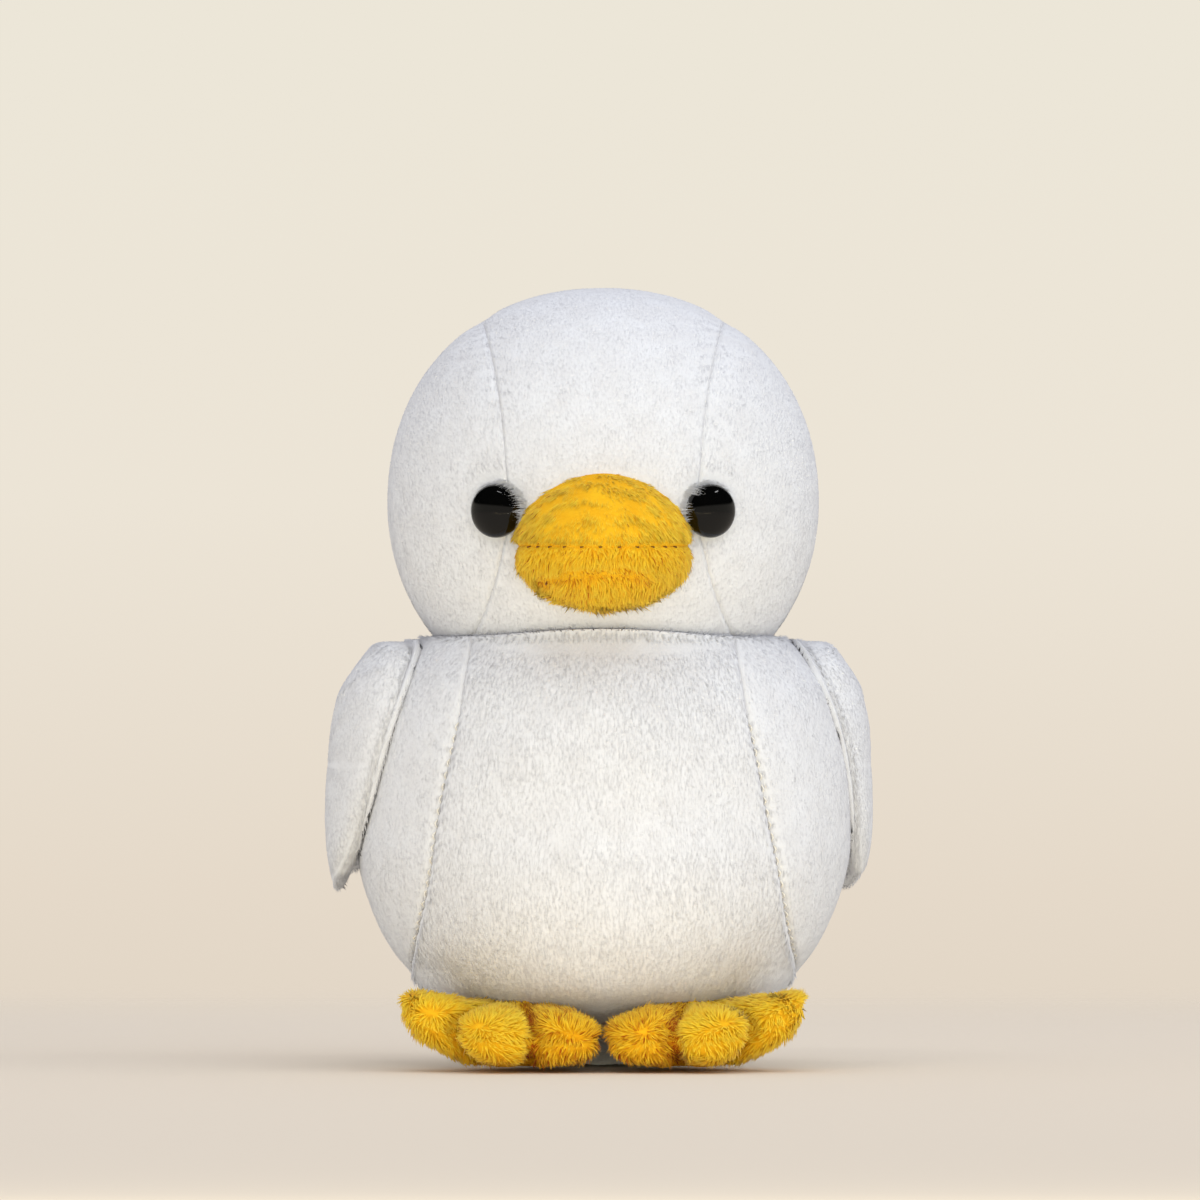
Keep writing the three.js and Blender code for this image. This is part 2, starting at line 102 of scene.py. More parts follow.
# Head, round its own middle.
HEAD_RADIUS = 49.5
HEAD_HALF_DEPTH = 47.5
HEAD_MIDDLE = np.array([0.0, 0.0, 127.0])
CROWN_POWER = 2.15
GUSSET_AT_CROWN = 30.0
GUSSET_AT_EYES = 22.0
GUSSET_AT_CHIN = 42.0

# Bill.
BILL_MIDDLE = np.array([0.0, -40.0, 117.6])
BILL_HALF_WIDTH = 20.5
BILL_REACH = 27.0
BILL_ROOT_DEPTH = 9.0
BILL_ABOVE = 17.2
BILL_BELOW = 14.8
BILL_EDGE_TAPER = 0.3
MOUTH_HEIGHT = 110.5
MOUTH_SWING = 0.8
MOUTH_MIDDLE = -3.0

# Eyes.
EYE_HALF_SPACING = 24.8
EYE_DROP = 2.0
EYE_RADIUS = 6.0
EYE_DOME = 3.6
EYE_RIM = 1.2
EYE_SUNK = 1.15
STEM_RADIUS = 1.7
STEM_LENGTH = 9.0

# Wings.
WING_HALF_SPAN = 29.0
WING_HALF_CHORD = 25.0
WING_MIDDLE_HEIGHT = 69.0
WING_BACKSET = 1.5
WING_SWEEP = 8.0
WING_SEAM_HEIGHT = 3.0
WING_OUTER_CROWN = 4.2
WING_SHOULDER_FULLNESS = 0.5
WING_INNER_CROWN = 5.0
WING_SHOULDER = 92.0
WING_TIP_FLARE = 1.5
WING_LOBE_ANGLE = 36.0
WING_LOBE_DEPTH = 0.1
WING_TURN_BACK = {"left": 16.0, "right": 0.0}
WING_SEAM_UNDER = -0.3
WING_CLEAR = -0.6
WING_TOP_ROUNDED = 1.4
WING_BLEND = 4.0
WING_OUTLINE_POWER = 2.2
WING_PAD_POWER = 2.3
WING_FRONT_POWER = 3.4
WING_HOLLOW_FILL = 1.1

# Feet.
FOOT_X = 19.5
FOOT_OUT = 5.4
FOOT_HALF_HEIGHT = 8.0
FOOT_MIDDLE_HEIGHT = 7.5
TOE_REACH = 18.5
TOE_RADIUS = 8.6
TOE_DIRECTIONS = np.array([-122.0, -78.0, -24.0]) * DEGREE
TOE_GROOVE = 0.4
TOE_CURL = 8.0
FOOT_PAD_RADIUS = 17.0
TOE_FULLNESS = 0.7
FOOT_TINT = 0.27
# Painted shade in the feet's pile: how much darker the tufts are in the creases between the toes, under the
# body, beside the floor and on the inner toe.
PAINTED_CREASE_SHADE = 0.65
PAINTED_UNDER_BODY_SHADE = 0.4
PAINTED_FLOOR_SHADE = 0.12
PAINTED_INNER_TOE_SHADE = 0.33

# Tail.
TAIL_HEIGHT = 51.5
TAIL_SUNK = 4.0
TAIL_HALF_WIDTH = 15.0
TAIL_REACH = 20.0
TAIL_ROOT_DEPTH = 10.0
TAIL_HALF_HEIGHT = 8.5
TAIL_TILT = 32 * DEGREE

# Fabric.
STUFFING_DEPTH = 3.0
COVER_THICKNESS = 0.5
ROOT_DEPTH = 0.25
SIDES = {"left": 1, "right": -1}

# Cloth simulation, at ten times life size: there a metre is 100 of the duck's millimetres.
CLOTH_UNIT = 100
CLOTH_PRESSURE = 1.2
CLOTH_FARTHEST = 1.6
CLOTH_FRAMES = 14
FAR = 1e3  # more than any distance on the duck


def smooth(value, low, high):
    """From 0 at low to 1 at high, level at both ends."""
    share = np.clip((value - low) / (high - low), 0, 1)
    return share * share * (3 - 2 * share)


def fall(value, low, high):
    """From 1 at low to 0 at high, level at both ends."""
    return smooth(-value, -high, -low)


def hill(value, width):
    """1 at 0, and soon 0 where the value is more than the width."""
    return np.exp(-((value / width) ** 2))


def circle(count):
    """Angles evenly round a circle."""
    return np.linspace(0, 2 * math.pi, count, endpoint=False)


def parts_of(points):
    """The X, Y and Z of points."""
    return points[..., 0], points[..., 1], points[..., 2]


def toward(x, y, z):
    """A pile that lies the same way everywhere."""
    return lambda roots: roots * 0 + np.array([x, y, z])


def unit(vectors):
    return vectors / np.maximum(np.linalg.norm(vectors, axis=-1, keepdims=True), 1e-9)


def waves(points, size, seed):
    """Soft unevenness, mostly from -1 to 1: plane waves about size long, in seeded random directions."""
    rng = np.random.default_rng(seed)
    directions = unit(rng.normal(size=(12, 3))) * (2 * math.pi / (size * rng.uniform(0.7, 1.6, (12, 1))))
    return np.sin(points @ directions.T + rng.uniform(0, 2 * math.pi, 12)).sum(-1) / 3.6


def super_reach(across, up, power):
    """The distance to a superellipse in a direction whose parts are shares of its half axes."""
    return (np.abs(across) ** power + np.abs(up) ** power) ** (-1 / power)


def by_halving(holds, low, high):
    """The last value between low and high for which holds(value) is true, found by halving."""
    for _ in range(30):
        middle = (low + high) / 2
        true = holds(middle)
        low, high = np.where(true, middle, low), np.where(true, high, middle)
    return low


def girth_at(z):
    """The body's girth at a height, as a share of the belly's. One superellipse lies above the belly,
    one below."""
    above = z > BELLY_HEIGHT
    rise = np.where(above, (z - BELLY_HEIGHT) / (BODY_TOP - BELLY_HEIGHT), (BELLY_HEIGHT - z) / BELOW_BELLY)
    power = np.where(above, SHOULDER_POWER, HIP_POWER)
    return np.maximum(1e-6, 1 - np.clip(rise, 0, 1) ** power) ** (1 / power)


def middle_at(z):
    """How far the body's middle lies back at a height: it moves back below the belly, as the rump does."""
    return RUMP_SHIFT * (1 - np.minimum(z, BELLY_HEIGHT) / BELLY_HEIGHT) ** 2


def depth_at(z, ahead):
    """The body's half depth at a height. In front the belly sags over the feet."""
    sag = BELLY_SAG * smooth(z, *SAG_GROWS_OVER) * fall(z, *SAG_FADES_OVER) * ahead
    return BODY_HALF_DEPTH * girth_at(z) + sag


def body_point(around, z):
    """A level oval at each height, as wide as the girth there. around is 0 at +X and anticlockwise."""
    x = BODY_HALF_WIDTH * girth_at(z) * np.cos(around)
    y = middle_at(z) + depth_at(z, np.sin(around) < 0) * np.sin(around)
    return np.stack(np.broadcast_arrays(x, y, z), -1)


def outside_body(points, clearance):
    """Points that lie inside the body, moved level and outwards until they clear its surface."""
    z = points[..., 2]
    girth = girth_at(z)
    x, y = points[..., 0], points[..., 1] - middle_at(z)
    share = np.hypot(x / (BODY_HALF_WIDTH * girth + clearance), y / (depth_at(z, y < 0) + clearance))
    push = np.where((z > 0) & (z < BODY_TOP - 1), 1 / np.clip(share, 0.05, 1), 1)
    return np.stack([x * push, middle_at(z) + y * push, z], -1)


def beside_body(points, clearance):
    """Points that lie inside the body, moved along X and outwards until they clear its surface."""
    x, y, z = parts_of(points)
    girth = girth_at(z)
    across = (y - middle_at(z)) / (BODY_HALF_DEPTH * girth + clearance)
    least = (BODY_HALF_WIDTH * girth + clearance) * np.sqrt(np.maximum(0, 1 - across**2))
    least = np.where(z < BODY_TOP - 1, least, 0)
    return np.stack([np.sign(x) * np.maximum(np.abs(x), least), y, z], -1)


def clear_of_body(roots):
    """Which roots the body's cover doesn't hide."""
    return np.abs(outside_body(roots, -0.6) - roots).max(-1) < 1e-6


def head_point(across, around):
    """The head's surface: an ellipsoid below its middle, a little squarer above. across is the angle out
    of the plane X = 0, around is 0 at the face and 90 degrees at the crown."""
    flat = np.cos(across)
    x, y, z = np.broadcast_arrays(np.sin(across), -flat * np.cos(around), flat * np.sin(around))
    level = np.hypot(x / HEAD_RADIUS, y / HEAD_HALF_DEPTH)
    reach = super_reach(level, z / HEAD_RADIUS, np.where(z > 0, CROWN_POWER, 2.0))
    return HEAD_MIDDLE + np.stack([x, y, z], -1) * reach[..., None]


def gusset_half_width(z):
    """Half the width of the head's middle panel, from the height over the head's middle."""
    end = np.where(z > 0, GUSSET_AT_CROWN, GUSSET_AT_CHIN)
    return GUSSET_AT_EYES + (end - GUSSET_AT_EYES) * (z / HEAD_RADIUS) ** 2


def gusset_edge(around):
    """The angle across at which the head's middle panel ends."""

    def inside(across):
        point = head_point(across, around) - HEAD_MIDDLE
        return point[..., 0] < gusset_half_width(point[..., 2])

    return by_halving(inside, np.zeros_like(around), np.full_like(around, 80 * DEGREE))


def normals_of(points, wrap, core):
    """Unit normals of a grid of points, away from core. A row drawn together to a pole takes the mean of
    the row beside it."""
    if wrap:
        along = np.roll(points, -1, 1) - np.roll(points, 1, 1)
    else:
        along = np.gradient(points, axis=1)
    normals = np.cross(along, np.gradient(points, axis=0))
    for row, beside in ((0, 1), (-1, -2)):
        if np.ptp(points[row], axis=0).max() < 0.01:
            normals[row] = unit(normals[beside]).mean(0)
    normals = unit(normals)
    return normals * np.sign((normals * (points - core)).sum())


def quads_of(rows, columns, wrap):
    """The corners of each face of a grid, as rows of four indices."""
    row, column = np.mgrid[0 : rows - 1, 0 : columns if wrap else columns - 1]
    beside = (column + 1) % columns
    corners = [row * columns + column, row * columns + beside]
    corners += [(row + 1) * columns + beside, (row + 1) * columns + column]
    return np.stack([corner.ravel() for corner in corners], -1)


def run_along(points, axis=0):
    """How far each point of a grid lies from the grid's first row, or column, along the surface."""
    steps = np.cumsum(np.linalg.norm(np.diff(points, axis=axis), axis=-1), axis)
    return np.pad(steps, [(1, 0) if a == axis else (0, 0) for a in range(2)])


def from_sides(points):
    """How far each point of a grid lies from its row's nearer end, along the row."""
    run = run_along(points, 1)
    return np.minimum(run, run[:, -1:] - run)


def placed(name, data):
    """A new object at the origin, in the scene."""
    made = bpy.data.objects.new(name, data)
    bpy.context.scene.collection.objects.link(made)
    return made


def new_piece(name, vertices, corners, per_face, material, body, slot):
    """A mesh object from arrays in millimetres, with as many corners for each face as per_face says."""
    mesh = bpy.data.meshes.new(name)
    mesh.vertices.add(len(vertices))
    mesh.vertices.foreach_set("co", (np.asarray(vertices, np.float32) * MM).ravel())
    mesh.loops.add(corners.size)
    mesh.loops.foreach_set("vertex_index", corners.astype(np.int32).ravel())
    count = corners.size // per_face
    mesh.polygons.add(count)
    mesh.polygons.foreach_set("loop_start", np.arange(count, dtype=np.int32) * per_face)
    mesh.polygons.foreach_set("use_smooth", np.ones(count, bool))
    mesh.update(calc_edges=True)
    mesh.materials.append(material)
    piece = placed(name, mesh)
    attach(piece, body)
    return piece


def merge_corners(mesh, distance):
    """Merges corners that lie closer together than a distance in millimetres."""
    merged = bmesh.new()
    merged.from_mesh(mesh)
    bmesh.ops.remove_doubles(merged, verts=merged.verts, dist=distance * MM)
    merged.to_mesh(mesh)
    merged.free()


def skin(name, points, wrap, core, material, body, slot, thickness=0):
    """A cover from a grid of points. Rows drawn together to a pole are merged, faces turn away from
    core, and the fabric gets its thickness inwards."""
    rows, columns = points.shape[:2]
    normals = np.cross(points[1:-1, 1] - points[1:-1, 0], points[2:, 0] - points[1:-1, 0])
    corners = quads_of(rows, columns, wrap)
    if (normals * (points[1:-1, 0] - core)).sum() <= 0:
        corners = corners[:, ::-1]
    piece = new_piece(name, points.reshape(-1, 3), corners, 4, material, body, slot)
    merge_corners(piece.data, 0.02)
    if thickness:
        solidify = piece.modifiers.new("fabric_thickness", "SOLIDIFY")
        solidify.thickness = thickness * MM
        solidify.offset = -1
    return piece


def sprout(points, wrap, normals, per_mm2, seed, keep, beside):
    """Roots spread evenly over a grid of points by area, at random within each face. keep(roots), if
    given, says which of them stay. Returns the roots, their normals and the values of beside there."""
    rng = np.random.default_rng(seed)
    rows, columns = points.shape[:2]
    corners = quads_of(rows, columns, wrap)
    flat = points.reshape(-1, 3)
    a, b, c, d = (flat[corners[:, i]] for i in range(4))
    area = np.linalg.norm(np.cross(c - a, d - b), axis=-1) / 2
    total = np.cumsum(area)
    count = int(total[-1] * per_mm2)
    face = np.searchsorted(total, (np.arange(count) + rng.uniform(size=count)) * total[-1] / count)
    face = np.minimum(face, len(corners) - 1)
    u, v = rng.uniform(size=(2, count, 1))
    weights = np.concatenate([(1 - u) * (1 - v), u * (1 - v), u * v, (1 - u) * v], 1)

    def at(values):
        chosen = values.reshape(rows * columns, -1)[corners[face]]
        return (chosen * weights[..., None]).sum(1)

    roots = at(points)
    stay = keep(roots) if keep else slice(None)
    return roots[stay], unit(at(normals))[stay], at(beside)[stay, 0]


# A tuft's rings: how far along it each lies, and its radius as a share of the tuft's.
STRAIGHT = ((0.0, 1.0), (1.0, 0.0))
BENT = ((0.0, 0.8), (0.5, 1.0), (1.0, 0.0))


def tuft_faces(rings):
    """The triangles of a closed tuft with three sides, for rings rings of three corners and a tip."""
    faces = [(0, 2, 1)]
    for first in range(0, 3 * rings - 3, 3):
        for i in range(3):
            j = (i + 1) % 3
            faces += [(first + i, first + j, first + 3 + j), (first + i, first + 3 + j, first + 3 + i)]
    tip = 3 * rings
    return np.array(faces + [(tip - 3 + i, tip - 3 + (i + 1) % 3, tip) for i in range(3)])


def grow(cover, roots, normals, flow, pile, seed, length=1.0, lift=0.0, tint=0.5, name=None):
    """The pile of a cover. Each tuft leaves the fabric at the pile's lift, in degrees, and bends to its
    lay at the tip. The map OFBake runs from root to tip, with a column for the tuft's own tint. The
    shading follows the fabric as much as the tuft, as it does where light passes from fibre to fibre."""
    rng = np.random.default_rng(seed)
    count = len(roots)
    along = unit(flow - normals * (flow * normals).sum(-1, keepdims=True))
    aside = np.cross(normals, along)
    turn = pile["swing"] * (0.5 * waves(roots, 10, seed) + 0.5 * waves(roots, 3.5, seed + 1))
    turn = (turn + pile["stray"] * rng.normal(size=count))[:, None] * DEGREE
    lie = along * np.cos(turn) + aside * np.sin(turn)
    aside = np.cross(normals, lie)
    long = waves(roots, 4, seed + 3) + rng.normal(size=count)
    long = pile["length"] * length * (1 + pile["uneven"] * long)
    wide = pile["width"] * rng.uniform(0.75, 1.25, count) / 2
    uneven = 1.6 * waves(roots, 5, seed + 2) + 1.3 * rng.normal(size=count)
    start = pile["lift"] * (1 + pile["uneven"] * uneven) + lift
    end = np.maximum(start + pile["lay"] - pile["lift"], 3.0)
    streak = np.stack([(roots * aside).sum(-1) * 9, (roots * lie).sum(-1), roots[:, 1]], -1)
    own_tint = 0.6 * waves(streak, 6, seed + 4) + 0.5 * rng.normal(size=count)
    shade = np.clip(tint + pile["vary"] * own_tint, 0.02, 0.95)
    long, wide, start, end, shade = (v[:, None] for v in (long, wide, start, end, shade))
    form = pile["form"]
    centre = roots - normals * ROOT_DEPTH
    corners, upward, places = [], [], []
    for index, (share, radius) in enumerate(form):
        angle = (start + (end - start) * share) * DEGREE
        above = normals * np.cos(angle) - lie * np.sin(angle)
        for across, up in ((0, 0.75), (-0.87, -0.4), (0.87, -0.4)) if radius else ((0, 0),):
            off = aside * across + above * up
            corners.append(centre + off * wide * radius)
            upward.append(unit(normals * pile["fabric"] + off + above * 0.2))
            places.append(np.concatenate([shade + 0.012 * across, np.full((count, 1), share)], 1))
        if index + 1 < len(form):
            angle = (start + (end - start) * (share + form[index + 1][0]) / 2) * DEGREE
            step = long * (form[index + 1][0] - share)
            centre = centre + (lie * np.cos(angle) + normals * np.sin(angle)) * step
    corners, upward, places = (np.stack(v, 1) for v in (corners, upward, places))
    corners[..., 2] = np.maximum(corners[..., 2], 0.05)
    faces = tuft_faces(len(form) - 1)
    faces = (faces[None] + np.arange(count)[:, None, None] * corners.shape[1]).reshape(-1, 3)
    piece = new_piece(name or f"{cover.name}_pile", corners.reshape(-1, 3), faces, 3, pile["plush"]["pile"],
                      body_of(cover)[0], pile["plush"]["slot"])
    layer = piece.data.uv_layers.new(name="OFBake")
    layer.data.foreach_set("uv", places.reshape(-1, 2)[faces.ravel()].astype(np.float32).ravel())
    piece.data.normals_split_custom_set_from_vertices(upward.reshape(-1, 3).tolist())
    piece.parent = cover
    piece.matrix_parent_inverse.identity()


def linear(code):
    """An sRGB colour as #rrggbb, made linear."""
    parts = [int(code[i : i + 2], 16) / 255 for i in (1, 3, 5)]
    return [p / 12.92 if p <= 0.04045 else ((p + 0.055) / 1.055) ** 2.4 for p in parts] + [1.0]


def add(tree, kind, inputs=None, **settings):
    """Adds a node with its settings. An input is a value, or a pair of a node and the name or the number
    of its output."""
    node = tree.nodes.new(kind)
    for key, value in settings.items():
        setattr(node, key, value)
    for key, value in (inputs or {}).items():
        if isinstance(value, tuple) and isinstance(value[0], bpy.types.Node):
            tree.links.new(value[0].outputs[value[1]], node.inputs[key])
        else:
            node.inputs[key].default_value = value
    return node


def ramp(tree, source, stops):
    """A colour ramp over a node's output, from pairs of a place and a colour."""
    node = add(tree, "ShaderNodeValToRGB", {"Fac": source})
    elements = node.color_ramp.elements
    while len(elements) < len(stops):
        elements.new(0.5)
    for element, (place, code) in zip(elements, stops):
        element.position, element.color = place, linear(code)
    return node, "Color"


def noise(tree, vector, size, **settings):
    """Noise whose clouds are about size millimetres wide."""
    inputs = {"Vector": vector, "Scale": 1 / (size * MM)}
    return add(tree, "ShaderNodeTexNoise", inputs | settings), "Fac"


def bump(tree, height, strength, distance):
    inputs = {"Height": height, "Strength": strength, "Distance": distance * MM}
    return add(tree, "ShaderNodeBump", inputs), "Normal"


def mapped(tree, value, low, high, to=(0.0, 1.0), **settings):
    """A node's output from low to high, spread over another range."""
    inputs = {"Value": value, "From Min": low, "From Max": high, "To Min": to[0], "To Max": to[1]}
    return add(tree, "ShaderNodeMapRange", inputs, **settings), "Result"


def material(name, kind="ShaderNodeTexCoord", output="Object", **settings):
    """A new material, its node tree, and the piece's own coordinates in it."""
    made = bpy.data.materials.new(name)
    made.use_nodes = True
    made.node_tree.nodes.clear()
    return made, made.node_tree, (add(made.node_tree, kind, **settings), output)


def finish(made, inputs):
    """Closes a material with a principled shader that has these inputs."""
    shader = add(made.node_tree, "ShaderNodeBsdfPrincipled", inputs)
    add(made.node_tree, "ShaderNodeOutputMaterial", {"Surface": (shader, "BSDF")})
    return made


def pile_material(name, stops, tints, roughness, sheen):
    """Cut pile of a knitted polyester plush: matt, with a soft bright rim. Fibres are darker at the
    root, where the light doesn't reach, and each tuft has a tint of its own."""
    made, tree, place = material(name, "ShaderNodeUVMap", "UV", uv_map="OFBake")
    parts = add(tree, "ShaderNodeSeparateXYZ", {"Vector": place})
    along, tint = ramp(tree, (parts, "Y"), stops), ramp(tree, (parts, "X"), tints)
    both = add(tree, "ShaderNodeMix", {0: 1.0, 6: along, 7: tint}, data_type="RGBA", blend_type="MULTIPLY")
    return finish(made, {"Base Color": (both, 2), "Roughness": roughness, "Specular IOR Level": 0.2,
                         "Sheen Weight": sheen, "Sheen Roughness": 0.4})


def fabric_material(name, light, dark, stitch):
    """Backing cloth: rows of small loops or threads, which show as a fine even bump, and a slightly
    uneven dye."""
    made, tree, place = material(name)
    cloud = noise(tree, place, 6, Detail=3.0)
    loops = add(tree, "ShaderNodeTexVoronoi", {"Vector": place, "Scale": 1 / (stitch * MM)})
    return finish(made, {"Base Color": ramp(tree, cloud, ((0.3, dark), (0.7, light))), "Roughness": 0.95,
                         "Normal": bump(tree, (loops, "Distance"), 0.4, 0.2), "Specular IOR Level": 0.1})


def gloss_material():
    """Injection-moulded black acrylic eye, polished in the mould: deep black with a clear reflection, a
    few dust specks and faint flow waves."""
    made, tree, place = material("polished_black_acrylic")
    dust = noise(tree, place, 0.5, Detail=2.0)
    rough = mapped(tree, dust, 0.62, 0.75, (0.05, 0.3))
    return finish(made, {"Base Color": linear("#050505"), "Roughness": rough, "IOR": 1.49,
                         "Specular IOR Level": 0.3, "Normal": bump(tree, noise(tree, place, 4), 0.05, 0.1)})


def moulded_material():
    """White moulded polypropylene of the eye washers: matt with a faint grain from the mould."""
    made, tree, place = material("moulded_white_polypropylene")
    grain = noise(tree, place, 0.4)
    tone = ramp(tree, grain, ((0.3, "#d8d6d0"), (0.7, "#e2e0da")))
    return finish(made, {"Base Color": tone, "Roughness": 0.5, "Normal": bump(tree, grain, 0.2, 0.05)})


def stuffing_material():
    """Carded hollow polyester fibre: an off-white tangle, drawn as fine stretched noise."""
    made, tree, place = material("carded_polyester_fibre")
    stretched = add(tree, "ShaderNodeMapping", {"Vector": place, "Scale": (1.0, 0.25, 0.25)})
    tangle = noise(tree, (stretched, "Vector"), 0.8, Detail=5.0)
    tone = ramp(tree, tangle, ((0.3, "#d3d0c8"), (0.7, "#f2f0ea")))
    return finish(made, {"Base Color": tone, "Roughness": 1.0, "Normal": bump(tree, tangle, 0.8, 0.6),
                         "Sheen Weight": 0.3})


def thread_material(name, light, dark):
    """Twisted polyester sewing thread: two plies that show as slanting stripes."""
    made, tree, place = material(name)
    inputs = {"Vector": place, "Scale": 1 / (1.6 * MM), "Distortion": 1.0}
    plies = add(tree, "ShaderNodeTexWave", inputs, bands_direction="DIAGONAL"), "Fac"
    return finish(made, {"Base Color": ramp(tree, plies, ((0.2, dark), (0.8, light))), "Roughness": 0.6,
                         "Normal": bump(tree, plies, 0.5, 0.05)})


WHITE_PLUSH = {"slot": "white_plush", "height": 0.8, "pile": pile_material(
    "white_polyester_cut_pile",
    ((0.0, "#dadadd"), (0.5, "#e1e1e5"), (1.0, "#e4e4e9")),
    ((0.0, "#efedeb"), (1.0, "#ffffff")), 0.9, 0.05,
)}
YELLOW_PLUSH = {"slot": "yellow_plush", "height": 1.1, "pile": pile_material(
    "yellow_polyester_cut_pile",
    ((0.0, "#eda812"), (0.4, "#fbcb22"), (1.0, "#fde04a")),
    # Each tuft's own tint. On the feet the dark end also carries painted shade in the creases, under the body
    # and on the inner toe.
    ((0.0, "#b4641c"), (0.4, "#f6deb4"), (1.0, "#ffffff")), 0.85, 0.1,
)}
WHITE_PLUSH["backing"] = fabric_material("white_knitted_backing", "#e1e1e3", "#dcdbdc", 0.9)
YELLOW_PLUSH["backing"] = fabric_material("yellow_knitted_backing", "#f2bb22", "#e8a818", 0.9)
BLACK_GLOSS = gloss_material()
WHITE_PLASTIC = moulded_material()
STUFFING = stuffing_material()
PELLET_CLOTH = fabric_material("woven_cotton_pellet_bag", "#cbc6ba", "#b9b3a5", 0.6)
WHITE_THREAD = thread_material("white_sewing_thread", "#efebe3", "#e0d9cb"), "torso", "white_plush"
BROWN_THREAD = thread_material("brown_sewing_thread", "#8a5212", "#5e3408"), "head", "yellow_plush"

# Piles. lift and lay are the angles of a tuft's root and tip over the fabric, swing and stray how far its
# lie turns with its neighbours and by itself, in degrees. fabric is how much of its shading comes from the
# cover, vary how much its tint varies, and uneven how much its length and lift do.
SHORT_PILE = {"form": STRAIGHT, "length": 2.0, "width": 0.34, "lift": 10, "lay": 10, "swing": 9, "stray": 8,
              "fabric": 18.0, "vary": 0.04, "uneven": 0.04, "plush": WHITE_PLUSH}
STREAKED_PILE = dict(SHORT_PILE, length=2.4, swing=6, stray=5, fabric=13.0, vary=0.07)
EYE_PILE = dict(SHORT_PILE, length=4.1, width=0.26, lift=69, lay=69, swing=24, stray=14, uneven=0.1)
BILL_PILE = {"form": BENT, "length": 3.4, "width": 0.38, "lift": 20, "lay": 9, "swing": 7, "stray": 6,
             "fabric": 3.0, "vary": 0.32, "uneven": 0.12, "plush": YELLOW_PLUSH}
FLUFFY_PILE = dict(BILL_PILE, length=3.6, width=0.36, lift=42, lay=18, swing=40, stray=12, fabric=2.4)
TOE_PILE = dict(BILL_PILE, length=2.5, width=0.36, lift=40, lay=14, swing=30, stray=12, fabric=3.4)


def swell(points, wrap, distance, seed, growth):
    """Cloth simulation of a panel. It is held where it is sewn. Beside the seam the fabric is longer
    than its place and loose, so it gathers between the stitches, and the filling presses it out. A
    simulation that breaks down leaves the panel as it was."""
    start = points + waves(points, 4.5, seed)[..., None] * 0.04
    merged, index = np.unique(np.round(start.reshape(-1, 3), 3), axis=0, return_inverse=True)
    index = index.ravel()
    corners = index[quads_of(*points.shape[:2], wrap)].tolist()
    faces = [[v for i, v in enumerate(face) if v != face[i - 1]] for face in corners]
    mesh = bpy.data.meshes.new("swelling")
    mesh.from_pydata((merged / CLOTH_UNIT).tolist(), [], [face for face in faces if len(face) > 2])
    cloth = placed("swelling", mesh)
    near = np.full(len(merged), FAR)
    np.minimum.at(near, index, distance.ravel())
    held = np.where(near < 0.5, 1.0, 0.25 + 0.6 * smooth(near, 5, 14))
    for group, weights in (("held", held), ("loose", 1 - smooth(near, 3, 10))):
        made = cloth.vertex_groups.new(name=group)
        for vertex, weight in enumerate(weights.tolist()):
            made.add([vertex], weight, "REPLACE")
    modifier = cloth.modifiers.new("cloth", "CLOTH")
    settings = modifier.settings
    settings.quality = 6
    settings.mass = 0.2
    settings.tension_stiffness = settings.compression_stiffness = 20
    settings.bending_stiffness = 0.15
    settings.vertex_group_mass = "held"
    settings.pin_stiffness = 1.0
    settings.vertex_group_shrink = "loose"
    settings.shrink_min, settings.shrink_max = 0.0, -growth
    settings.use_pressure = True
    settings.uniform_pressure_force = CLOTH_PRESSURE
    settings.effector_weights.gravity = 0
    modifier.collision_settings.use_collision = False
    modifier.point_cache.frame_end = CLOTH_FRAMES
    for frame_number in range(1, CLOTH_FRAMES + 1):
        bpy.context.scene.frame_set(frame_number)
    result = cloth.evaluated_get(bpy.context.evaluated_depsgraph_get()).to_mesh()
    moved = np.empty(len(merged) * 3, np.float32)
    result.vertices.foreach_get("co", moved)
    bpy.data.objects.remove(cloth)
    bpy.context.scene.frame_set(1)
    if not np.isfinite(moved).all():
        return points
    step = (moved.reshape(-1, 3) * CLOTH_UNIT - merged)[index].reshape(points.shape)
    size = np.linalg.norm(step, axis=-1, keepdims=True)
    return points + step * np.minimum(1, CLOTH_FARTHEST / np.maximum(size, 1e-6))


def plush(name, node, body, points, wrap, core, seam, groove, flow, pile, seed, keep=None, density=3.3,
          at_seam=0.4, room=1.0, extra=None, growth=0.07, short_for=2.2):
    """A cover panel, swollen by its filling, and its pile. seam is how far each point is from the
    stitches, groove how far the fabric is drawn in there beside the pile's height, and room the share of
    both where the piece is thin. flow(roots) gives the pile's lie, and extra(roots, normals) what a root
    adds to it: a share of length, a lift and a tint. density is in tufts per square millimetre. at_seam
    is the share of the pile's length that is left at the stitches, and short_for how far from them the
    pile has its full length."""
    kind = pile["plush"]
    points = swell(points, wrap, seam, seed, growth)
    laid = points - normals_of(points, wrap, core) * ((kind["height"] + groove) * room)[..., None]
    laid[..., 2] = np.maximum(laid[..., 2], COVER_THICKNESS)
    normals = normals_of(laid, wrap, core)
    cover = skin(name, laid, wrap, core, kind["backing"], body, kind["slot"], COVER_THICKNESS)
    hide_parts(node)
    roots, upright, beside = sprout(laid, wrap, normals, density, seed, keep, seam)
    length, lift, tint = at_seam + (1 - at_seam) * smooth(beside, 0, short_for), 0.0, 0.5
    if extra:
        more = extra(roots, upright)
        length, lift, tint = length * more[0], lift + more[1], tint + more[2]
    grow(cover, roots, upright, flow(roots), pile, seed, length, lift, tint)
    return laid


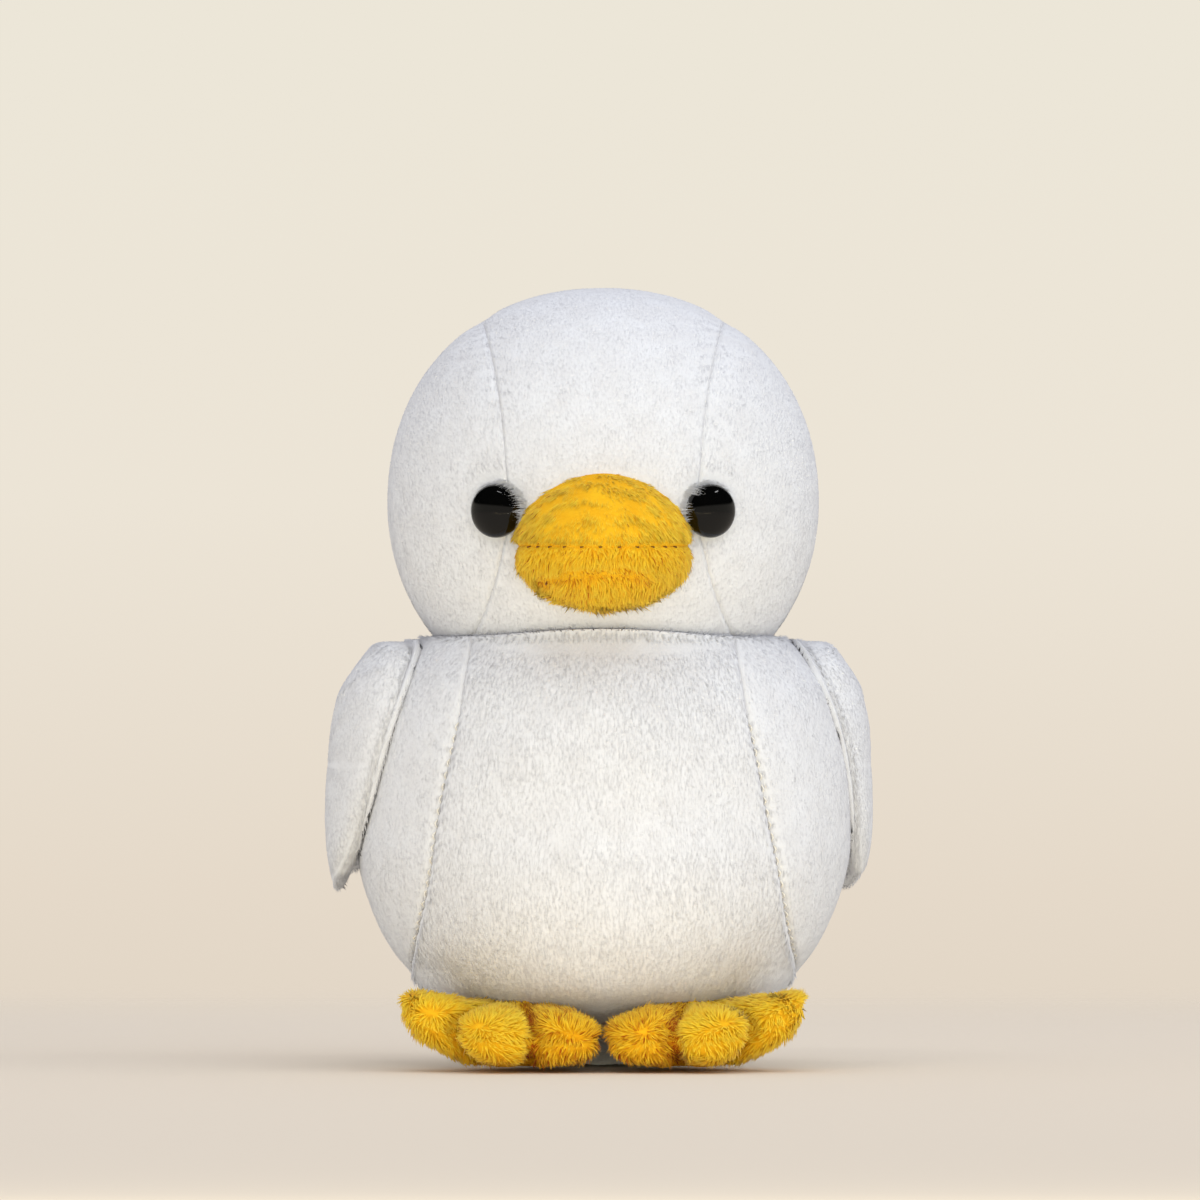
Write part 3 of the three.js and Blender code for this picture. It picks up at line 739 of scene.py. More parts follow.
def belly_seam_angle(z):
    """The angle before the side at which the belly panel ends, at a height."""
    half = BELLY_SEAM_AT_BASE + (BELLY_SEAM_AT_NECK - BELLY_SEAM_AT_BASE) * z / BODY_TOP
    return np.arccos(np.clip(half / (BODY_HALF_WIDTH * girth_at(z)), 0, 1))


def from_dish(points):
    """How far points lie outside the dish for the head, which is a little flatter from front to back."""
    return np.linalg.norm((points - HEAD_MIDDLE) * DISH_SHAPE, axis=-1) - DISH_RADIUS


def rim_height(around):
    """The height at which the body's surface meets the dish for the head."""
    lowest, highest = np.full_like(around, RIM_LOWEST), np.full_like(around, RIM_HIGHEST)
    return by_halving(lambda z: from_dish(body_point(around, z)) > 0, lowest, highest)


def body_panel(around_at, columns, rows=84, lip_rows=9):
    """A panel of the body from the base seam up to the dish's rim and over it. around_at(share, z) gives
    the angle of each column, from one seam to the next. Beside the rim the panel keeps clear of the
    head, as wide as the dish and a little more, and in front the head presses the chest up."""
    share = np.linspace(0, 1, columns)[None]
    top = np.full((1, columns), RIM_AT_FIRST)
    for _ in range(6):
        top = rim_height(around_at(share, top))
    edge = body_point(around_at(share, top), top)
    top = top + CHEST_RISE * hill(edge[..., 0], CHEST_HALF_WIDTH) * (edge[..., 1] < 0)
    z = BASE_SEAM + (top - BASE_SEAM) * np.linspace(0, 1, rows)[:, None]
    side = (body_point(around_at(share, z), z) - HEAD_MIDDLE) * DISH_SHAPE
    beyond = DISH_RADIUS + RIM_FULLNESS * smooth(top - z, 0, 1.5)
    least = np.sqrt(np.maximum(0, beyond**2 - side[..., 2] ** 2))
    side[..., :2] *= np.maximum(1, least / np.linalg.norm(side[..., :2], axis=-1))[..., None]
    rim = side[-1:]
    flat = np.linalg.norm(rim[..., :2], axis=-1)
    slope = np.arcsin(flat / DISH_RADIUS) - np.linspace(0, DISH_LIP / DISH_RADIUS, lip_rows + 1)[1:, None]
    level = rim[..., :2] / flat[..., None] * (DISH_RADIUS * np.sin(slope))[..., None]
    lip = np.concatenate([level, -(DISH_RADIUS * np.cos(slope))[..., None]], -1)
    points = HEAD_MIDDLE + np.concatenate([side, lip]) / DISH_SHAPE
    for _ in range(4):
        points[1:-1] = (points[:-2] + 2 * points[1:-1] + points[2:]) / 4
    return points


def seam_groove(points, distance, depth, half_width, pucker, pitch, axis=0):
    """How far a panel is drawn in along its seams: a valley with a pucker at every stitch."""
    stitch = np.cos(2 * math.pi * run_along(points, axis) / pitch + 0.8 * waves(points, 9, 5))
    gathered = 0.3 * pucker * hill(distance, 2.4 * half_width) * stitch
    return depth * (hill(distance, half_width) * (1 + pucker * stitch) + gathered)


def stitches(name, path, normals, thread, radius, long, spacing, rise, rings=7, sides=5):
    """A row of stitches along a path. Each is a short round loop of thread that leaves the fabric and
    dips back into it."""
    run = run_along(path[:, None])[:, 0]
    starts = np.arange(spacing / 2, run[-1] - long, spacing)
    share = np.linspace(0, 1, rings)
    where = starts[:, None] + long * share
    at = np.stack([np.interp(where, run, path[:, i]) for i in range(3)], -1)
    up = unit(np.stack([np.interp(where, run, normals[:, i]) for i in range(3)], -1))
    centre = at + up * (rise * (np.sin(math.pi * share) * 1.3 - 0.3))[None, :, None]
    along = unit(np.gradient(centre, axis=1))
    aside = np.cross(along, up)
    over = np.cross(aside, along)
    turn = circle(sides)[:, None]
    round_it = aside[:, :, None] * np.cos(turn) + over[:, :, None] * np.sin(turn)
    corners = centre[:, :, None] + radius * round_it
    faces = quads_of(rings, sides, True)[:, ::-1]
    faces = (faces[None] + np.arange(len(starts))[:, None, None] * rings * sides).reshape(-1, 4)
    piece = new_piece(name, corners.reshape(-1, 3), faces, 4, *thread)
    closed = bmesh.new()
    closed.from_mesh(piece.data)
    bmesh.ops.holes_fill(closed, edges=closed.edges, sides=sides)
    bmesh.ops.recalc_face_normals(closed, faces=closed.faces)
    closed.to_mesh(piece.data)
    closed.free()


def make_body():
    """Belly panel between the two puckered seams, two side panels joined down the back, and a flat base."""
    core = np.array([0.0, 0.0, BELLY_HEIGHT])

    def belly(share, z):
        return 1.5 * math.pi + (2 * share - 1) * (math.pi / 2 - belly_seam_angle(z))

    def side(share, z):
        return -belly_seam_angle(z) + share * (math.pi / 2 + belly_seam_angle(z))

    def form(points, seam):
        """The seams' grooves, which fade out below the head, and soft dents round the belly."""
        z = points[..., 2]
        dents = 0.35 * waves(points, 26, 3) * smooth(z, 12, 30) * fall(z, 80, 92)
        groove = seam_groove(points, seam, depth=0.7, half_width=0.9, pucker=0.3, pitch=2.9)
        return groove * (0.25 + 0.75 * fall(z, 76, 88)) + dents

    def at_rim(roots):
        return hill(from_dish(roots), 1.3) * (roots[..., 2] > 80)

    def fringe(roots, normals):
        """More upright at the rim of the dish, where it lies against the head."""
        return 1 - 0.1 * at_rim(roots), 34 * at_rim(roots), 0.0

    def panel(name, points, pile, seed):
        seam = from_sides(points)
        return plush(name, f"body_{name}", "torso", points, False, core, seam, form(points, seam),
                     toward(0, 0, -1.0), pile, seed, lambda roots: from_dish(roots) > -2.6, at_seam=0.6,
                     room=1 - 0.8 * at_rim(points), extra=fringe, short_for=1.4)

    laid = panel("belly_panel", body_panel(belly, 84), STREAKED_PILE, 11)
    normals = normals_of(laid, False, core)
    sewn = slice(2, -26)
    for name, column in (("right", 0), ("left", -1)):
        stitches(f"belly_seam_thread_{name}", laid[sewn, column], normals[sewn, column], WHITE_THREAD,
                 radius=0.22, long=2.1, spacing=2.9, rise=0.55)
    half = body_panel(side, 88)
    for name, sign in SIDES.items():
        panel(f"side_panel_{name}", half * np.array([sign, 1, 1]), SHORT_PILE, 20 + sign)
    around = circle(120)[None]
    rim = body_point(around, np.linspace(BASE_SEAM, 0.3, 6)[:, None])
    centre = np.array([0.0, float(middle_at(0.0)), 0.0])
    disc = centre + (body_point(around, np.array([[0.0]])) - centre) * np.linspace(0.97, 0, 16)[:, None, None]
    base = np.concatenate([rim, disc])
    seam = run_along(base)
    plush("base_panel", "body_base_panel", "torso", base, True, core, seam, 0.8 * hill(seam, 1.5),
          toward(0, 1.0, -0.2), SHORT_PILE, 31, density=1.5)


def make_head():
    """The gusset runs from the chin over the crown to the nape, with a side panel to its left and its
    right."""
    eyes = [eye_frame(side)[0] for side in SIDES.values()]

    def from_eye(points):
        return np.min([np.linalg.norm(points - eye, axis=-1) for eye in eyes], axis=0)

    def keep(roots):
        """No pile in the body's dish, behind the bill or behind an eye's button."""
        x, _, z = parts_of(roots - BILL_MIDDLE)
        depth = np.where(z > 0, BILL_ABOVE, BILL_BELOW) - 2.2
        under_bill = ((x / (BILL_HALF_WIDTH - 2)) ** 2 + (z / depth) ** 2 < 1) & (roots[:, 1] < 0)
        return (roots[:, 2] > HEAD_MIDDLE[2] - 34) & ~under_bill & (from_eye(roots) > EYE_RADIUS - 0.9)

    def nap(roots):
        """Up the face, over the crown and down the nape, as the panels are cut, and backwards on the
        cheeks."""
        x, y, z = (roots - HEAD_MIDDLE).T
        return np.stack([0 * x, z + 14, 5 - y], -1)

    def panel(name, node, points, wrap, seam, turn, seed):
        """The seams show more on the forehead and the crown than at the chin and the nape."""
        upper = smooth(turn, 12 * DEGREE, 45 * DEGREE) * fall(turn, 110 * DEGREE, 150 * DEGREE)
        groove = seam_groove(points, seam, depth=1.0, half_width=3.6, pucker=0.1, pitch=4.0, axis=int(wrap))
        socket = 0.6 * fall(from_eye(points), EYE_RADIUS, EYE_RADIUS + 4)
        plush(name, node, "head", points, wrap, HEAD_MIDDLE, seam, (0.2 + 0.32 * upper) * groove + socket,
              nap, SHORT_PILE, seed, keep, at_seam=1.0, growth=0.03)

    around = np.linspace(-66, 246, 200)[:, None] * DEGREE
    points = head_point(gusset_edge(around) * np.linspace(-1, 1, 58)[None], around)
    panel("gusset", "head_gusset", points, False, from_sides(points), around, 41)
    around = circle(190)[None]
    edge = gusset_edge(around)
    half = head_point(edge + (math.pi / 2 - edge) * np.linspace(0, 1, 34)[:, None], around)
    for name, sign in SIDES.items():
        points = half * np.array([sign, 1, 1])
        seam = run_along(points)
        panel(f"head_side_panel_{name}", f"head_side_{name}", points, True, seam, around, 50 + sign)
    for name, side in SIDES.items():
        lashes(name, side)


def eye_frame(side):
    """Where an eye's button lies on the head, and which way its dome points."""
    across, up = side * EYE_HALF_SPACING / HEAD_RADIUS, -EYE_DROP / HEAD_RADIUS
    out = np.array([across, -math.sqrt(1 - across**2 - up**2), up])
    scaled = out / [HEAD_RADIUS, HEAD_HALF_DEPTH, HEAD_RADIUS]
    return HEAD_MIDDLE + out * (1 / np.linalg.norm(scaled) - EYE_SUNK), out


def lashes(name, side, count=300):
    """The pile that stands over a button's edge, above it and toward the bill: roots on a ring round the
    button, longest where the pile is thickest."""
    rng = np.random.default_rng(7 + side)
    centre, out = eye_frame(side)
    up = np.array([0, 0, 1.0])
    inward = unit(np.cross(out, up)) * side
    turn = rng.uniform(-60, 160, count) * DEGREE
    ring = inward * np.cos(turn)[:, None] + up * np.sin(turn)[:, None]
    reach = EYE_RADIUS + 0.1 + 1.2 * rng.uniform(size=count)
    roots = centre + ring * reach[:, None] + out * (EYE_SUNK - 1.9)
    thick = smooth(np.cos(turn - 58 * DEGREE), -0.3, 0.6)
    upright = unit(np.broadcast_to(out, roots.shape))
    grow(bpy.data.objects["gusset"], roots, upright, -ring, EYE_PILE, 75 + side, 0.4 + 0.6 * thick,
         name=f"eye_edge_pile_{name}")


def make_eyes():
    """Turned buttons: a flat back, a short upright rim and a dome that meets it without an edge."""
    dome = np.linspace(0, 90, 16) * DEGREE
    profile = [(0, -STEM_LENGTH), (STEM_RADIUS * 0.9, -STEM_LENGTH), (STEM_RADIUS, -STEM_LENGTH + 0.3)]
    profile += [(STEM_RADIUS, -0.2), (EYE_RADIUS - 0.5, -0.05), (EYE_RADIUS - 0.15, 0.05), (EYE_RADIUS, 0.3)]
    profile += [(EYE_RADIUS * math.cos(a), EYE_RIM + EYE_DOME * math.sin(a)) for a in dome]
    radii, heights = np.array(profile).T
    turn = circle(64)[None]
    for name, side in SIDES.items():
        centre, out = eye_frame(side)
        across = unit(np.cross([0, 0, 1.0], out))
        up = np.cross(out, across)
        ring = across * np.cos(turn)[..., None] + up * np.sin(turn)[..., None]
        points = centre + ring * radii[:, None, None] + out * heights[:, None, None]
        eye = skin(f"eye_button_{name}", points, True, centre, BLACK_GLOSS, "head", "black_eye_plastic")
        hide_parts(f"eye_{name}")


def pad_points(pad, up, around, inset=0.0):
    """A stuffed pad: its outline by the angle around, its crown by the angle up, then bent into place."""
    share = np.cos(up)
    height = np.maximum(0, 1 - share ** pad["squareness"]) ** (1 / pad["squareness"])
    crown = np.where(up > 0, pad["above"], pad["below"]) - inset
    reach = (pad["outline"](around) - inset) * share
    z = np.sign(up) * crown * height * pad["relief"](around, share, up)
    x, y, z = np.broadcast_arrays(reach * np.cos(around), reach * np.sin(around), z)
    return pad["place"](np.stack([x, y, z], -1))


def half_angles(side, rows, columns, seam=0.0):
    """The angles of one panel of a pad, from its seam to the top or the bottom of its crown. seam is the
    angle up of the seam, which is below 0 where the upper panel wraps round the pad's edge."""
    share = np.linspace(0, 1, rows)[:, None] ** 0.8
    up = seam + (side * math.pi / 2 - seam) * share
    return np.where(np.abs(up) < 1e-4, side * 1e-4, up), circle(columns)[None]


def oval(half_width, front, back):
    return lambda around: super_reach(
        np.cos(around) / half_width, np.sin(around) / np.where(np.sin(around) < 0, front, back), 2.0
    )


def behind_face(points, depth):
    """Points that lie deeper in the head than depth, moved forwards level until they are at that depth."""
    x, up = points[..., 0] / HEAD_RADIUS, (points[..., 2] - HEAD_MIDDLE[2]) / HEAD_RADIUS
    face = -HEAD_HALF_DEPTH * np.sqrt(np.maximum(0, 1 - x**2 - up**2))
    return np.stack([points[..., 0], np.minimum(points[..., 1], face + depth), points[..., 2]], -1)


def in_front_of_face(roots, depth):
    return np.abs(behind_face(roots, depth) - roots).max(-1) < 1e-6


def on_surface(surface, normals, x, z):
    """Points of a surface, and its normals, in front of given places X and Z: a weighted mean of the
    nearest."""
    front = surface[..., 1] < BILL_MIDDLE[1]
    spread = (surface[front][:, 0] - x[:, None]) ** 2 + (surface[front][:, 2] - z[:, None]) ** 2
    weight = np.exp(-spread / 0.7)
    weight = weight / weight.sum(1, keepdims=True)
    return weight @ surface[front], unit(weight @ normals[front])


def mouth_line(x):
    """The height of the mouth's line, which waves a little."""
    return MOUTH_HEIGHT + MOUTH_SWING * np.sin(x * 0.16 + 1.5)


def make_bill():
    """An upper panel with a short combed pile and a fuller lower panel, sewn together in a level seam. A
    line of brown stitches draws the mouth into the lower one."""

    def taper(around, share, up):
        return np.maximum(1e-4, 1 - share**2) ** (BILL_EDGE_TAPER * np.maximum(0, -np.sin(around)))

    def mouth(points):
        x, _, z = parts_of(points)
        return hill(z - mouth_line(x), 1.0) * fall(np.abs(x - MOUTH_MIDDLE), 9, 14)

    def flat_on_top(roots, normals):
        """Where the bill is level, the pile that points at the viewer lies down."""
        level = smooth(normals[:, 2], 0.3, 0.9)
        return 1 + 0 * level, -4 * level, 0.1 + 0 * level

    def short_at_mouth(roots, normals):
        """Short and dark in the mouth's line, and short just above, so that no pile hides it."""
        gap = mouth(roots)
        over = mouth(roots - [0, 0, 1.9])
        return (1 - 0.8 * gap) * (1 - 0.7 * over), -14 * gap, 0.12 - 0.3 * gap + 0.05 * waves(roots, 6, 8)

    def fanned(share, ahead):
        """Down, and outwards on both sides of the middle."""

        def flow(roots):
            spread = roots[:, 0] / BILL_HALF_WIDTH
            return np.stack([share * spread, 0 * spread - ahead, 0 * spread - 1], -1)

        return flow

    pad = {"outline": oval(BILL_HALF_WIDTH, BILL_REACH, BILL_ROOT_DEPTH), "above": BILL_ABOVE,
           "below": BILL_BELOW, "squareness": 2.0, "relief": taper,
           "place": lambda points: points + BILL_MIDDLE}
    for name, side, flow, pile in (("upper", 1, fanned(0.12, 0.1), BILL_PILE),
                                   ("lower", -1, fanned(1.1, 0.2), FLUFFY_PILE)):
        points = behind_face(pad_points(pad, *half_angles(side, 40, 140)), 5.0)
        seam = run_along(points)
        groove = 0.9 * hill(seam, 1.0) + (0.7 * mouth(points) if side < 0 else 0)
        laid = plush(f"bill_{name}_panel", f"bill_{name}", "head", points, True, BILL_MIDDLE, seam, groove,
                     flow, pile, 60 + side, lambda roots: in_front_of_face(roots, 2.8), density=9.5,
                     at_seam=0.2, growth=0.04, short_for=4.6,
                     extra=flat_on_top if side > 0 else short_at_mouth)
        normals = normals_of(laid, True, BILL_MIDDLE)
        if side > 0:
            stuff_pad("bill_fibre", "bill_filling", pad, "head", lambda points: behind_face(points, 8.0))
            sewn = (0, slice(82, 127))
            stitches("bill_seam_thread", laid[sewn], normals[sewn], BROWN_THREAD, radius=0.24, long=1.2,
                     spacing=4.1, rise=1.1)
            continue
        for part, ends in (("right", (-12.9, -3.6)), ("left", (0.2, 6.1))):
            x = np.linspace(*ends, 30)
            path, upright = on_surface(laid, normals, x, mouth_line(x))
            stitches(f"mouth_thread_{part}", path, upright, BROWN_THREAD, radius=0.32, long=1.9, spacing=2.2,
                     rise=2.1)


def wing_pad(side, turn_back):
    """A wing that hangs along the body's side: X is its chord, towards the tail, Y its span. It has
    feather lobes behind. Its front edge lies down on the body, and at the shoulder its inner side fills
    the hollow below the head."""

    def outline(around):
        span = WING_HALF_SPAN - WING_TOP_ROUNDED * smooth(np.sin(around), 0, 1)
        plain = super_reach(np.cos(around) / WING_HALF_CHORD, np.sin(around) / span, WING_OUTLINE_POWER)
        behind = smooth(np.cos(around + 42 * DEGREE), 0.2, 0.7)
        notch = 1 - np.abs(np.cos((around / DEGREE + 90) * math.pi / WING_LOBE_ANGLE))
        return plain * (1 - WING_LOBE_DEPTH * behind * notch)

    def relief(around, share, up):
        """Fuller and gathered at the shoulder, and rounder at the edge in front."""
        fullness = 1 + WING_SHOULDER_FULLNESS * share * np.maximum(0, np.sin(around))
        gather = 0.05 * smooth(np.sin(around), 0.3, 0.9) * share * np.sin(around * 11 + 1)
        inner = WING_HOLLOW_FILL * smooth(share * np.sin(around), 0.35, 0.9) * (up < 0)
        ahead = smooth(np.maximum(-np.cos(around), np.sin(around)), 0.05, 0.75)
        within = np.minimum(share, 0.9995)
        front = (1 - within**WING_FRONT_POWER) ** (1 / WING_FRONT_POWER)
        rounder = front / (1 - within**WING_PAD_POWER) ** (1 / WING_PAD_POWER)
        return (fullness + gather + inner) * (1 + ahead * (rounder * (1 + 0.25 * share**2) - 1))

    def place(points):
        x, y, z = parts_of(points)
        height = WING_MIDDLE_HEIGHT + y
        back = WING_BACKSET + x - WING_SWEEP * y / WING_HALF_SPAN
        level = -WING_BLEND * np.logaddexp(-height / WING_BLEND, -WING_SHOULDER / WING_BLEND)
        girth = girth_at(np.maximum(level, BELLY_HEIGHT))
        flare = WING_TIP_FLARE * np.maximum(0, -y / WING_HALF_SPAN) ** 2
        share = np.minimum(0.96, np.abs(back) / (BODY_HALF_DEPTH * girth))
        drawn_in = np.maximum(smooth(-x / WING_HALF_CHORD, 0.05, 1), smooth(y / WING_HALF_SPAN, 0.5, 0.95))
        edge = WING_SEAM_HEIGHT - 2.6 * drawn_in
        out = BODY_HALF_WIDTH * girth * np.sqrt(1 - share**2) + edge + flare + z
        cos, sin = math.cos(side * turn_back * DEGREE), math.sin(side * turn_back * DEGREE)
        return np.stack([side * out * cos - back * sin, side * out * sin + back * cos, height], -1)

    return {"outline": outline, "relief": relief, "place": place, "above": WING_OUTER_CROWN,
            "below": WING_INNER_CROWN, "squareness": WING_PAD_POWER}


def make_wings():
    """Two wings, each an outer and an inner panel round a thin pad of fibre."""

    def over_crease(roots, normals):
        """The pile of a wing's edge stands up beside the body and narrows the crease."""
        near = smooth(np.abs(beside_body(roots, 2.4) - roots).max(-1), 0.2, 1.6)
        return 1 + 0.1 * near, 16 * near, 0.0

    for name, side in SIDES.items():
        pad = wing_pad(side, WING_TURN_BACK[name])
        stuff_pad(f"wing_{name}_fibre", f"wing_{name}_filling", pad, f"wing_{name}",
                  lambda points: beside_body(points, WING_CLEAR), inset=2.6, wall=2.2)
        for panel, face in (("outer", 1), ("inner", -1)):
            core = np.array([0.0 if face > 0 else 200.0 * side, 0.0, WING_MIDDLE_HEIGHT])
            up, around = half_angles(face, 36, 160, WING_SEAM_UNDER)
            points = beside_body(pad_points(pad, up, around), WING_CLEAR)
            opposite = beside_body(pad_points(pad, -up, around), WING_CLEAR)
            thick = np.linalg.norm(points - opposite, axis=-1)
            seam = run_along(points)
            plush(f"wing_{name}_{panel}_panel", f"wing_{name}_{panel}", f"wing_{name}", points, True, core,
                  seam, 0 * seam, toward(0, 0.25, -1.0), SHORT_PILE, 90 + 2 * side + face, at_seam=1.0,
                  room=smooth(thick, 0.4, 4.0) * (0.7 + 0.3 * smooth(seam, 0.5, 6.0)),
                  extra=over_crease if face > 0 else None)


def foot_outline(around):
    """The farthest of three toe circles and a round pad, from the foot's middle."""
    reach = np.full(np.shape(around), FOOT_PAD_RADIUS)
    for direction in TOE_DIRECTIONS:
        off = around - direction
        aside = (TOE_RADIUS + TOE_FULLNESS) ** 2 - (TOE_REACH * np.sin(off)) ** 2
        toe = TOE_REACH * np.cos(off) + np.sqrt(np.maximum(aside, 0))
        reach = np.maximum(reach, np.where((np.cos(off) > 0) & (aside > 0), toe, 0))
    return reach


def foot_pad(side):
    """A foot that lies in front of the body: X points outwards, and the outer toe curls up."""
    longest = TOE_REACH + TOE_RADIUS
    surface_y = float(middle_at(FOOT_HALF_HEIGHT) - BODY_HALF_DEPTH * girth_at(np.array(FOOT_HALF_HEIGHT)))

    def relief(around, share, up):
        ahead = smooth(-np.sin(around + 15 * DEGREE), -0.2, 0.3)
        between = (longest - foot_outline(around)) / (longest - FOOT_PAD_RADIUS)
        return 1 - TOE_GROOVE * ahead * between * share**2

    def place(points):
        curl = TOE_CURL * (np.maximum(0, points[..., 0]) / longest) ** 2
        z = np.maximum(points[..., 2] + curl + FOOT_MIDDLE_HEIGHT, 0.0)
        return np.stack([side * (FOOT_X + points[..., 0]), surface_y - FOOT_OUT + points[..., 1], z], -1)

    return {"outline": foot_outline, "relief": relief, "place": place, "above": FOOT_HALF_HEIGHT,
            "below": FOOT_HALF_HEIGHT, "squareness": 2.6}


def stuff_pad(name, node, pad, body, keep_clear, inset=STUFFING_DEPTH, wall=0.0):
    """The fibre in a pad: the pad's own form, drawn in, with soft lumps. With a wall, the fibre's two
    sides stay that far inside the pad's, and lie together where the pad is thinner than two walls."""
    around = circle(90)[None]
    up = np.linspace(1, -1, 29)[:, None] * math.pi / 2
    up = np.where(np.abs(up) < 1e-3, 1e-3, up)
    if wall:
        full = dict(pad, above=pad["above"] + inset, below=pad["below"] + inset)
        points, opposite = (keep_clear(pad_points(full, angle, around, inset)) for angle in (up, -up))
        middle, half = (points + opposite) / 2, (points - opposite) / 2
        thick = 2 * np.linalg.norm(half, axis=-1, keepdims=True)
        points = middle + half * np.maximum(0.04, 1 - 2 * wall / np.maximum(thick, 0.01))
    else:
        points = keep_clear(pad_points(pad, up, around, inset))
    core = points.reshape(-1, 3).mean(0)
    lumps = (0.35 * waves(points, 7, 3) + 0.3) * (not wall)
    lumps[[0, -1]] = 0
    points = points - normals_of(points, True, core) * lumps[..., None]
    points[..., 2] = np.maximum(points[..., 2], 1.2)
    fibre = skin(name, points, True, core, STUFFING, body, "fibre_filling")
    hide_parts(node)


def stuff_node(node, name, slot, dress, drawn_in, lump, voxel):
    """The fibre or the pellet bag in the place of a CAD solid: evenly meshed, drawn in and made lumpy."""
    source = frame["nodes"][node]
    copy = placed("remeshed", source.data.copy())
    merge_corners(copy.data, 0.01)
    remesh = copy.modifiers.new("remesh", "REMESH")
    remesh.voxel_size = voxel * MM
    mesh = bpy.data.meshes.new_from_object(copy.evaluated_get(bpy.context.evaluated_depsgraph_get()))
    bpy.data.objects.remove(copy)
    places = np.empty(len(mesh.vertices) * 3, np.float32)
    upward = np.empty_like(places)
    mesh.vertices.foreach_get("co", places)
    mesh.vertex_normals.foreach_get("vector", upward)
    places, upward = places.reshape(-1, 3), upward.reshape(-1, 3)
    places = places - upward * ((drawn_in + lump * waves(places / MM, 11, 9)) * MM)[:, None]
    mesh.vertices.foreach_set("co", places.ravel())
    mesh.polygons.foreach_set("use_smooth", np.ones(len(mesh.polygons), bool))
    mesh.materials.clear()
    mesh.materials.append(dress)
    piece = placed(f"{node}_{name}", mesh)
    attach(piece, body_of(source)[0])
    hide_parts(node)


def make_feet():
    """Two feet with three round toes. A tight seam pinches the toes apart, and the pile stands away from
    their ends."""
    toes = np.stack([np.cos(TOE_DIRECTIONS), np.sin(TOE_DIRECTIONS), 0 * TOE_DIRECTIONS], -1)
    creases = (TOE_DIRECTIONS[1:] + TOE_DIRECTIONS[:-1]) / 2
    for name, side in SIDES.items():
        pad = foot_pad(side)
        core = pad["place"](np.array([0.0, 0.0, 0.0]))
        poles = pad["place"](toes * (TOE_REACH + TOE_RADIUS) + [0, 0, 1.5])

        def pinch(points):
            """How near a point is to a crease between two toes."""
            x = side * points[..., 0] - FOOT_X
            y = points[..., 1] - core[1]
            off = np.stack([np.abs(x * np.sin(c) - y * np.cos(c)) for c in creases]).min(0)
            return hill(off, 1.7) * smooth(np.hypot(x, y), 6, 13) * (y < 2)

        def from_toe(roots):
            """Up and down from the parting at the seam, and outwards from the middle of each toe's end."""
            away = roots[:, None] - poles[None]
            nearest = np.argmin(np.linalg.norm(away, axis=-1), 1)
            lie = away[np.arange(len(roots)), nearest]
            tousled = np.stack([waves(roots, 9, 4 + i) for i in range(3)], -1)
            above = roots[:, 2:] - poles[nearest, 2:] + 2.5 * waves(roots, 8, 4)[:, None]
            return 0.5 * lie + 3.5 * tousled + 3.0 * np.tanh(above / 2.5) * [0, 0, 1.0]

        def by_place(roots, normals):
            """Shorter and flatter where the foot stands. The tint is painted shade: darker in the creases,
            under the body, beside the floor and on the inner toe, where shade falls."""
            crease = pinch(roots)
            low = smooth(roots[:, 2], 0.6, 3.2)
            tucked = smooth(-roots[:, 1], 24, 34)
            inmost = np.linalg.norm(roots[:, None] - poles[None], axis=-1).argmin(1) == 0
            # Painted shade: darker tufts in the creases, under the body and beside the floor.
            shade = PAINTED_CREASE_SHADE * crease + PAINTED_UNDER_BODY_SHADE * (1 - tucked) + PAINTED_FLOOR_SHADE * (1 - low)
            lift = 26 * hill(roots[:, 2] - poles[0, 2], 1.6) * (1 - crease) - 40 * (1 - low)
            tint = FOOT_TINT - shade - PAINTED_INNER_TOE_SHADE * inmost
            return (0.4 + 0.6 * low) * (1 - 0.4 * crease), lift, tint

        stuff_pad(f"foot_{name}_fibre", f"foot_{name}_filling", pad, "torso",
                  lambda points: outside_body(points, -3.5), inset=5.8)
        for panel, face, density in (("top", 1, 6.4), ("sole", -1, 2.0)):
            points = outside_body(pad_points(pad, *half_angles(face, 34, 200)), -2.5)
            seam = run_along(points)
            groove = 0.4 * hill(seam, 1.2) + 2.0 * pinch(points)
            plush(f"foot_{name}_{panel}_panel", f"foot_{name}_{panel}", "torso", points, True, core, seam,
                  groove, from_toe, TOE_PILE, 130 + 2 * side + face, clear_of_body, density=density,
                  at_seam=0.85, extra=by_place, growth=0.05)


def make_tail():
    """A short tail that points up: an upper and a lower panel."""
    surface_y = float(middle_at(TAIL_HEIGHT) + BODY_HALF_DEPTH * girth_at(np.array(TAIL_HEIGHT)))
    cos, sin = math.cos(TAIL_TILT), math.sin(TAIL_TILT)

    def place(points):
        x, y, z = parts_of(points)
        return np.stack([x, surface_y - TAIL_SUNK + y * cos - z * sin, TAIL_HEIGHT + y * sin + z * cos], -1)

    pad = {"outline": oval(TAIL_HALF_WIDTH, TAIL_ROOT_DEPTH, TAIL_REACH), "above": TAIL_HALF_HEIGHT,
           "below": TAIL_HALF_HEIGHT, "squareness": 2.0, "place": place,
           "relief": lambda around, share, up: 1.0}
    core = place(np.array([0.0, 0.0, 0.0]))
    stuff_pad("tail_fibre", "tail_filling", pad, "torso", lambda points: outside_body(points, -3.5))
    for panel, face in (("upper", 1), ("lower", -1)):
        points = outside_body(pad_points(pad, *half_angles(face, 24, 110)), -3.0)
        seam = run_along(points)
        groove = seam_groove(points, seam, depth=0.6, half_width=1.4, pucker=0.4, pitch=4.0, axis=1)
        plush(f"tail_{panel}_panel", f"tail_{panel}", "torso", points, True, core, seam, groove,
              toward(0, 1.0, 0.6), SHORT_PILE, 170 + face, clear_of_body, at_seam=0.6)


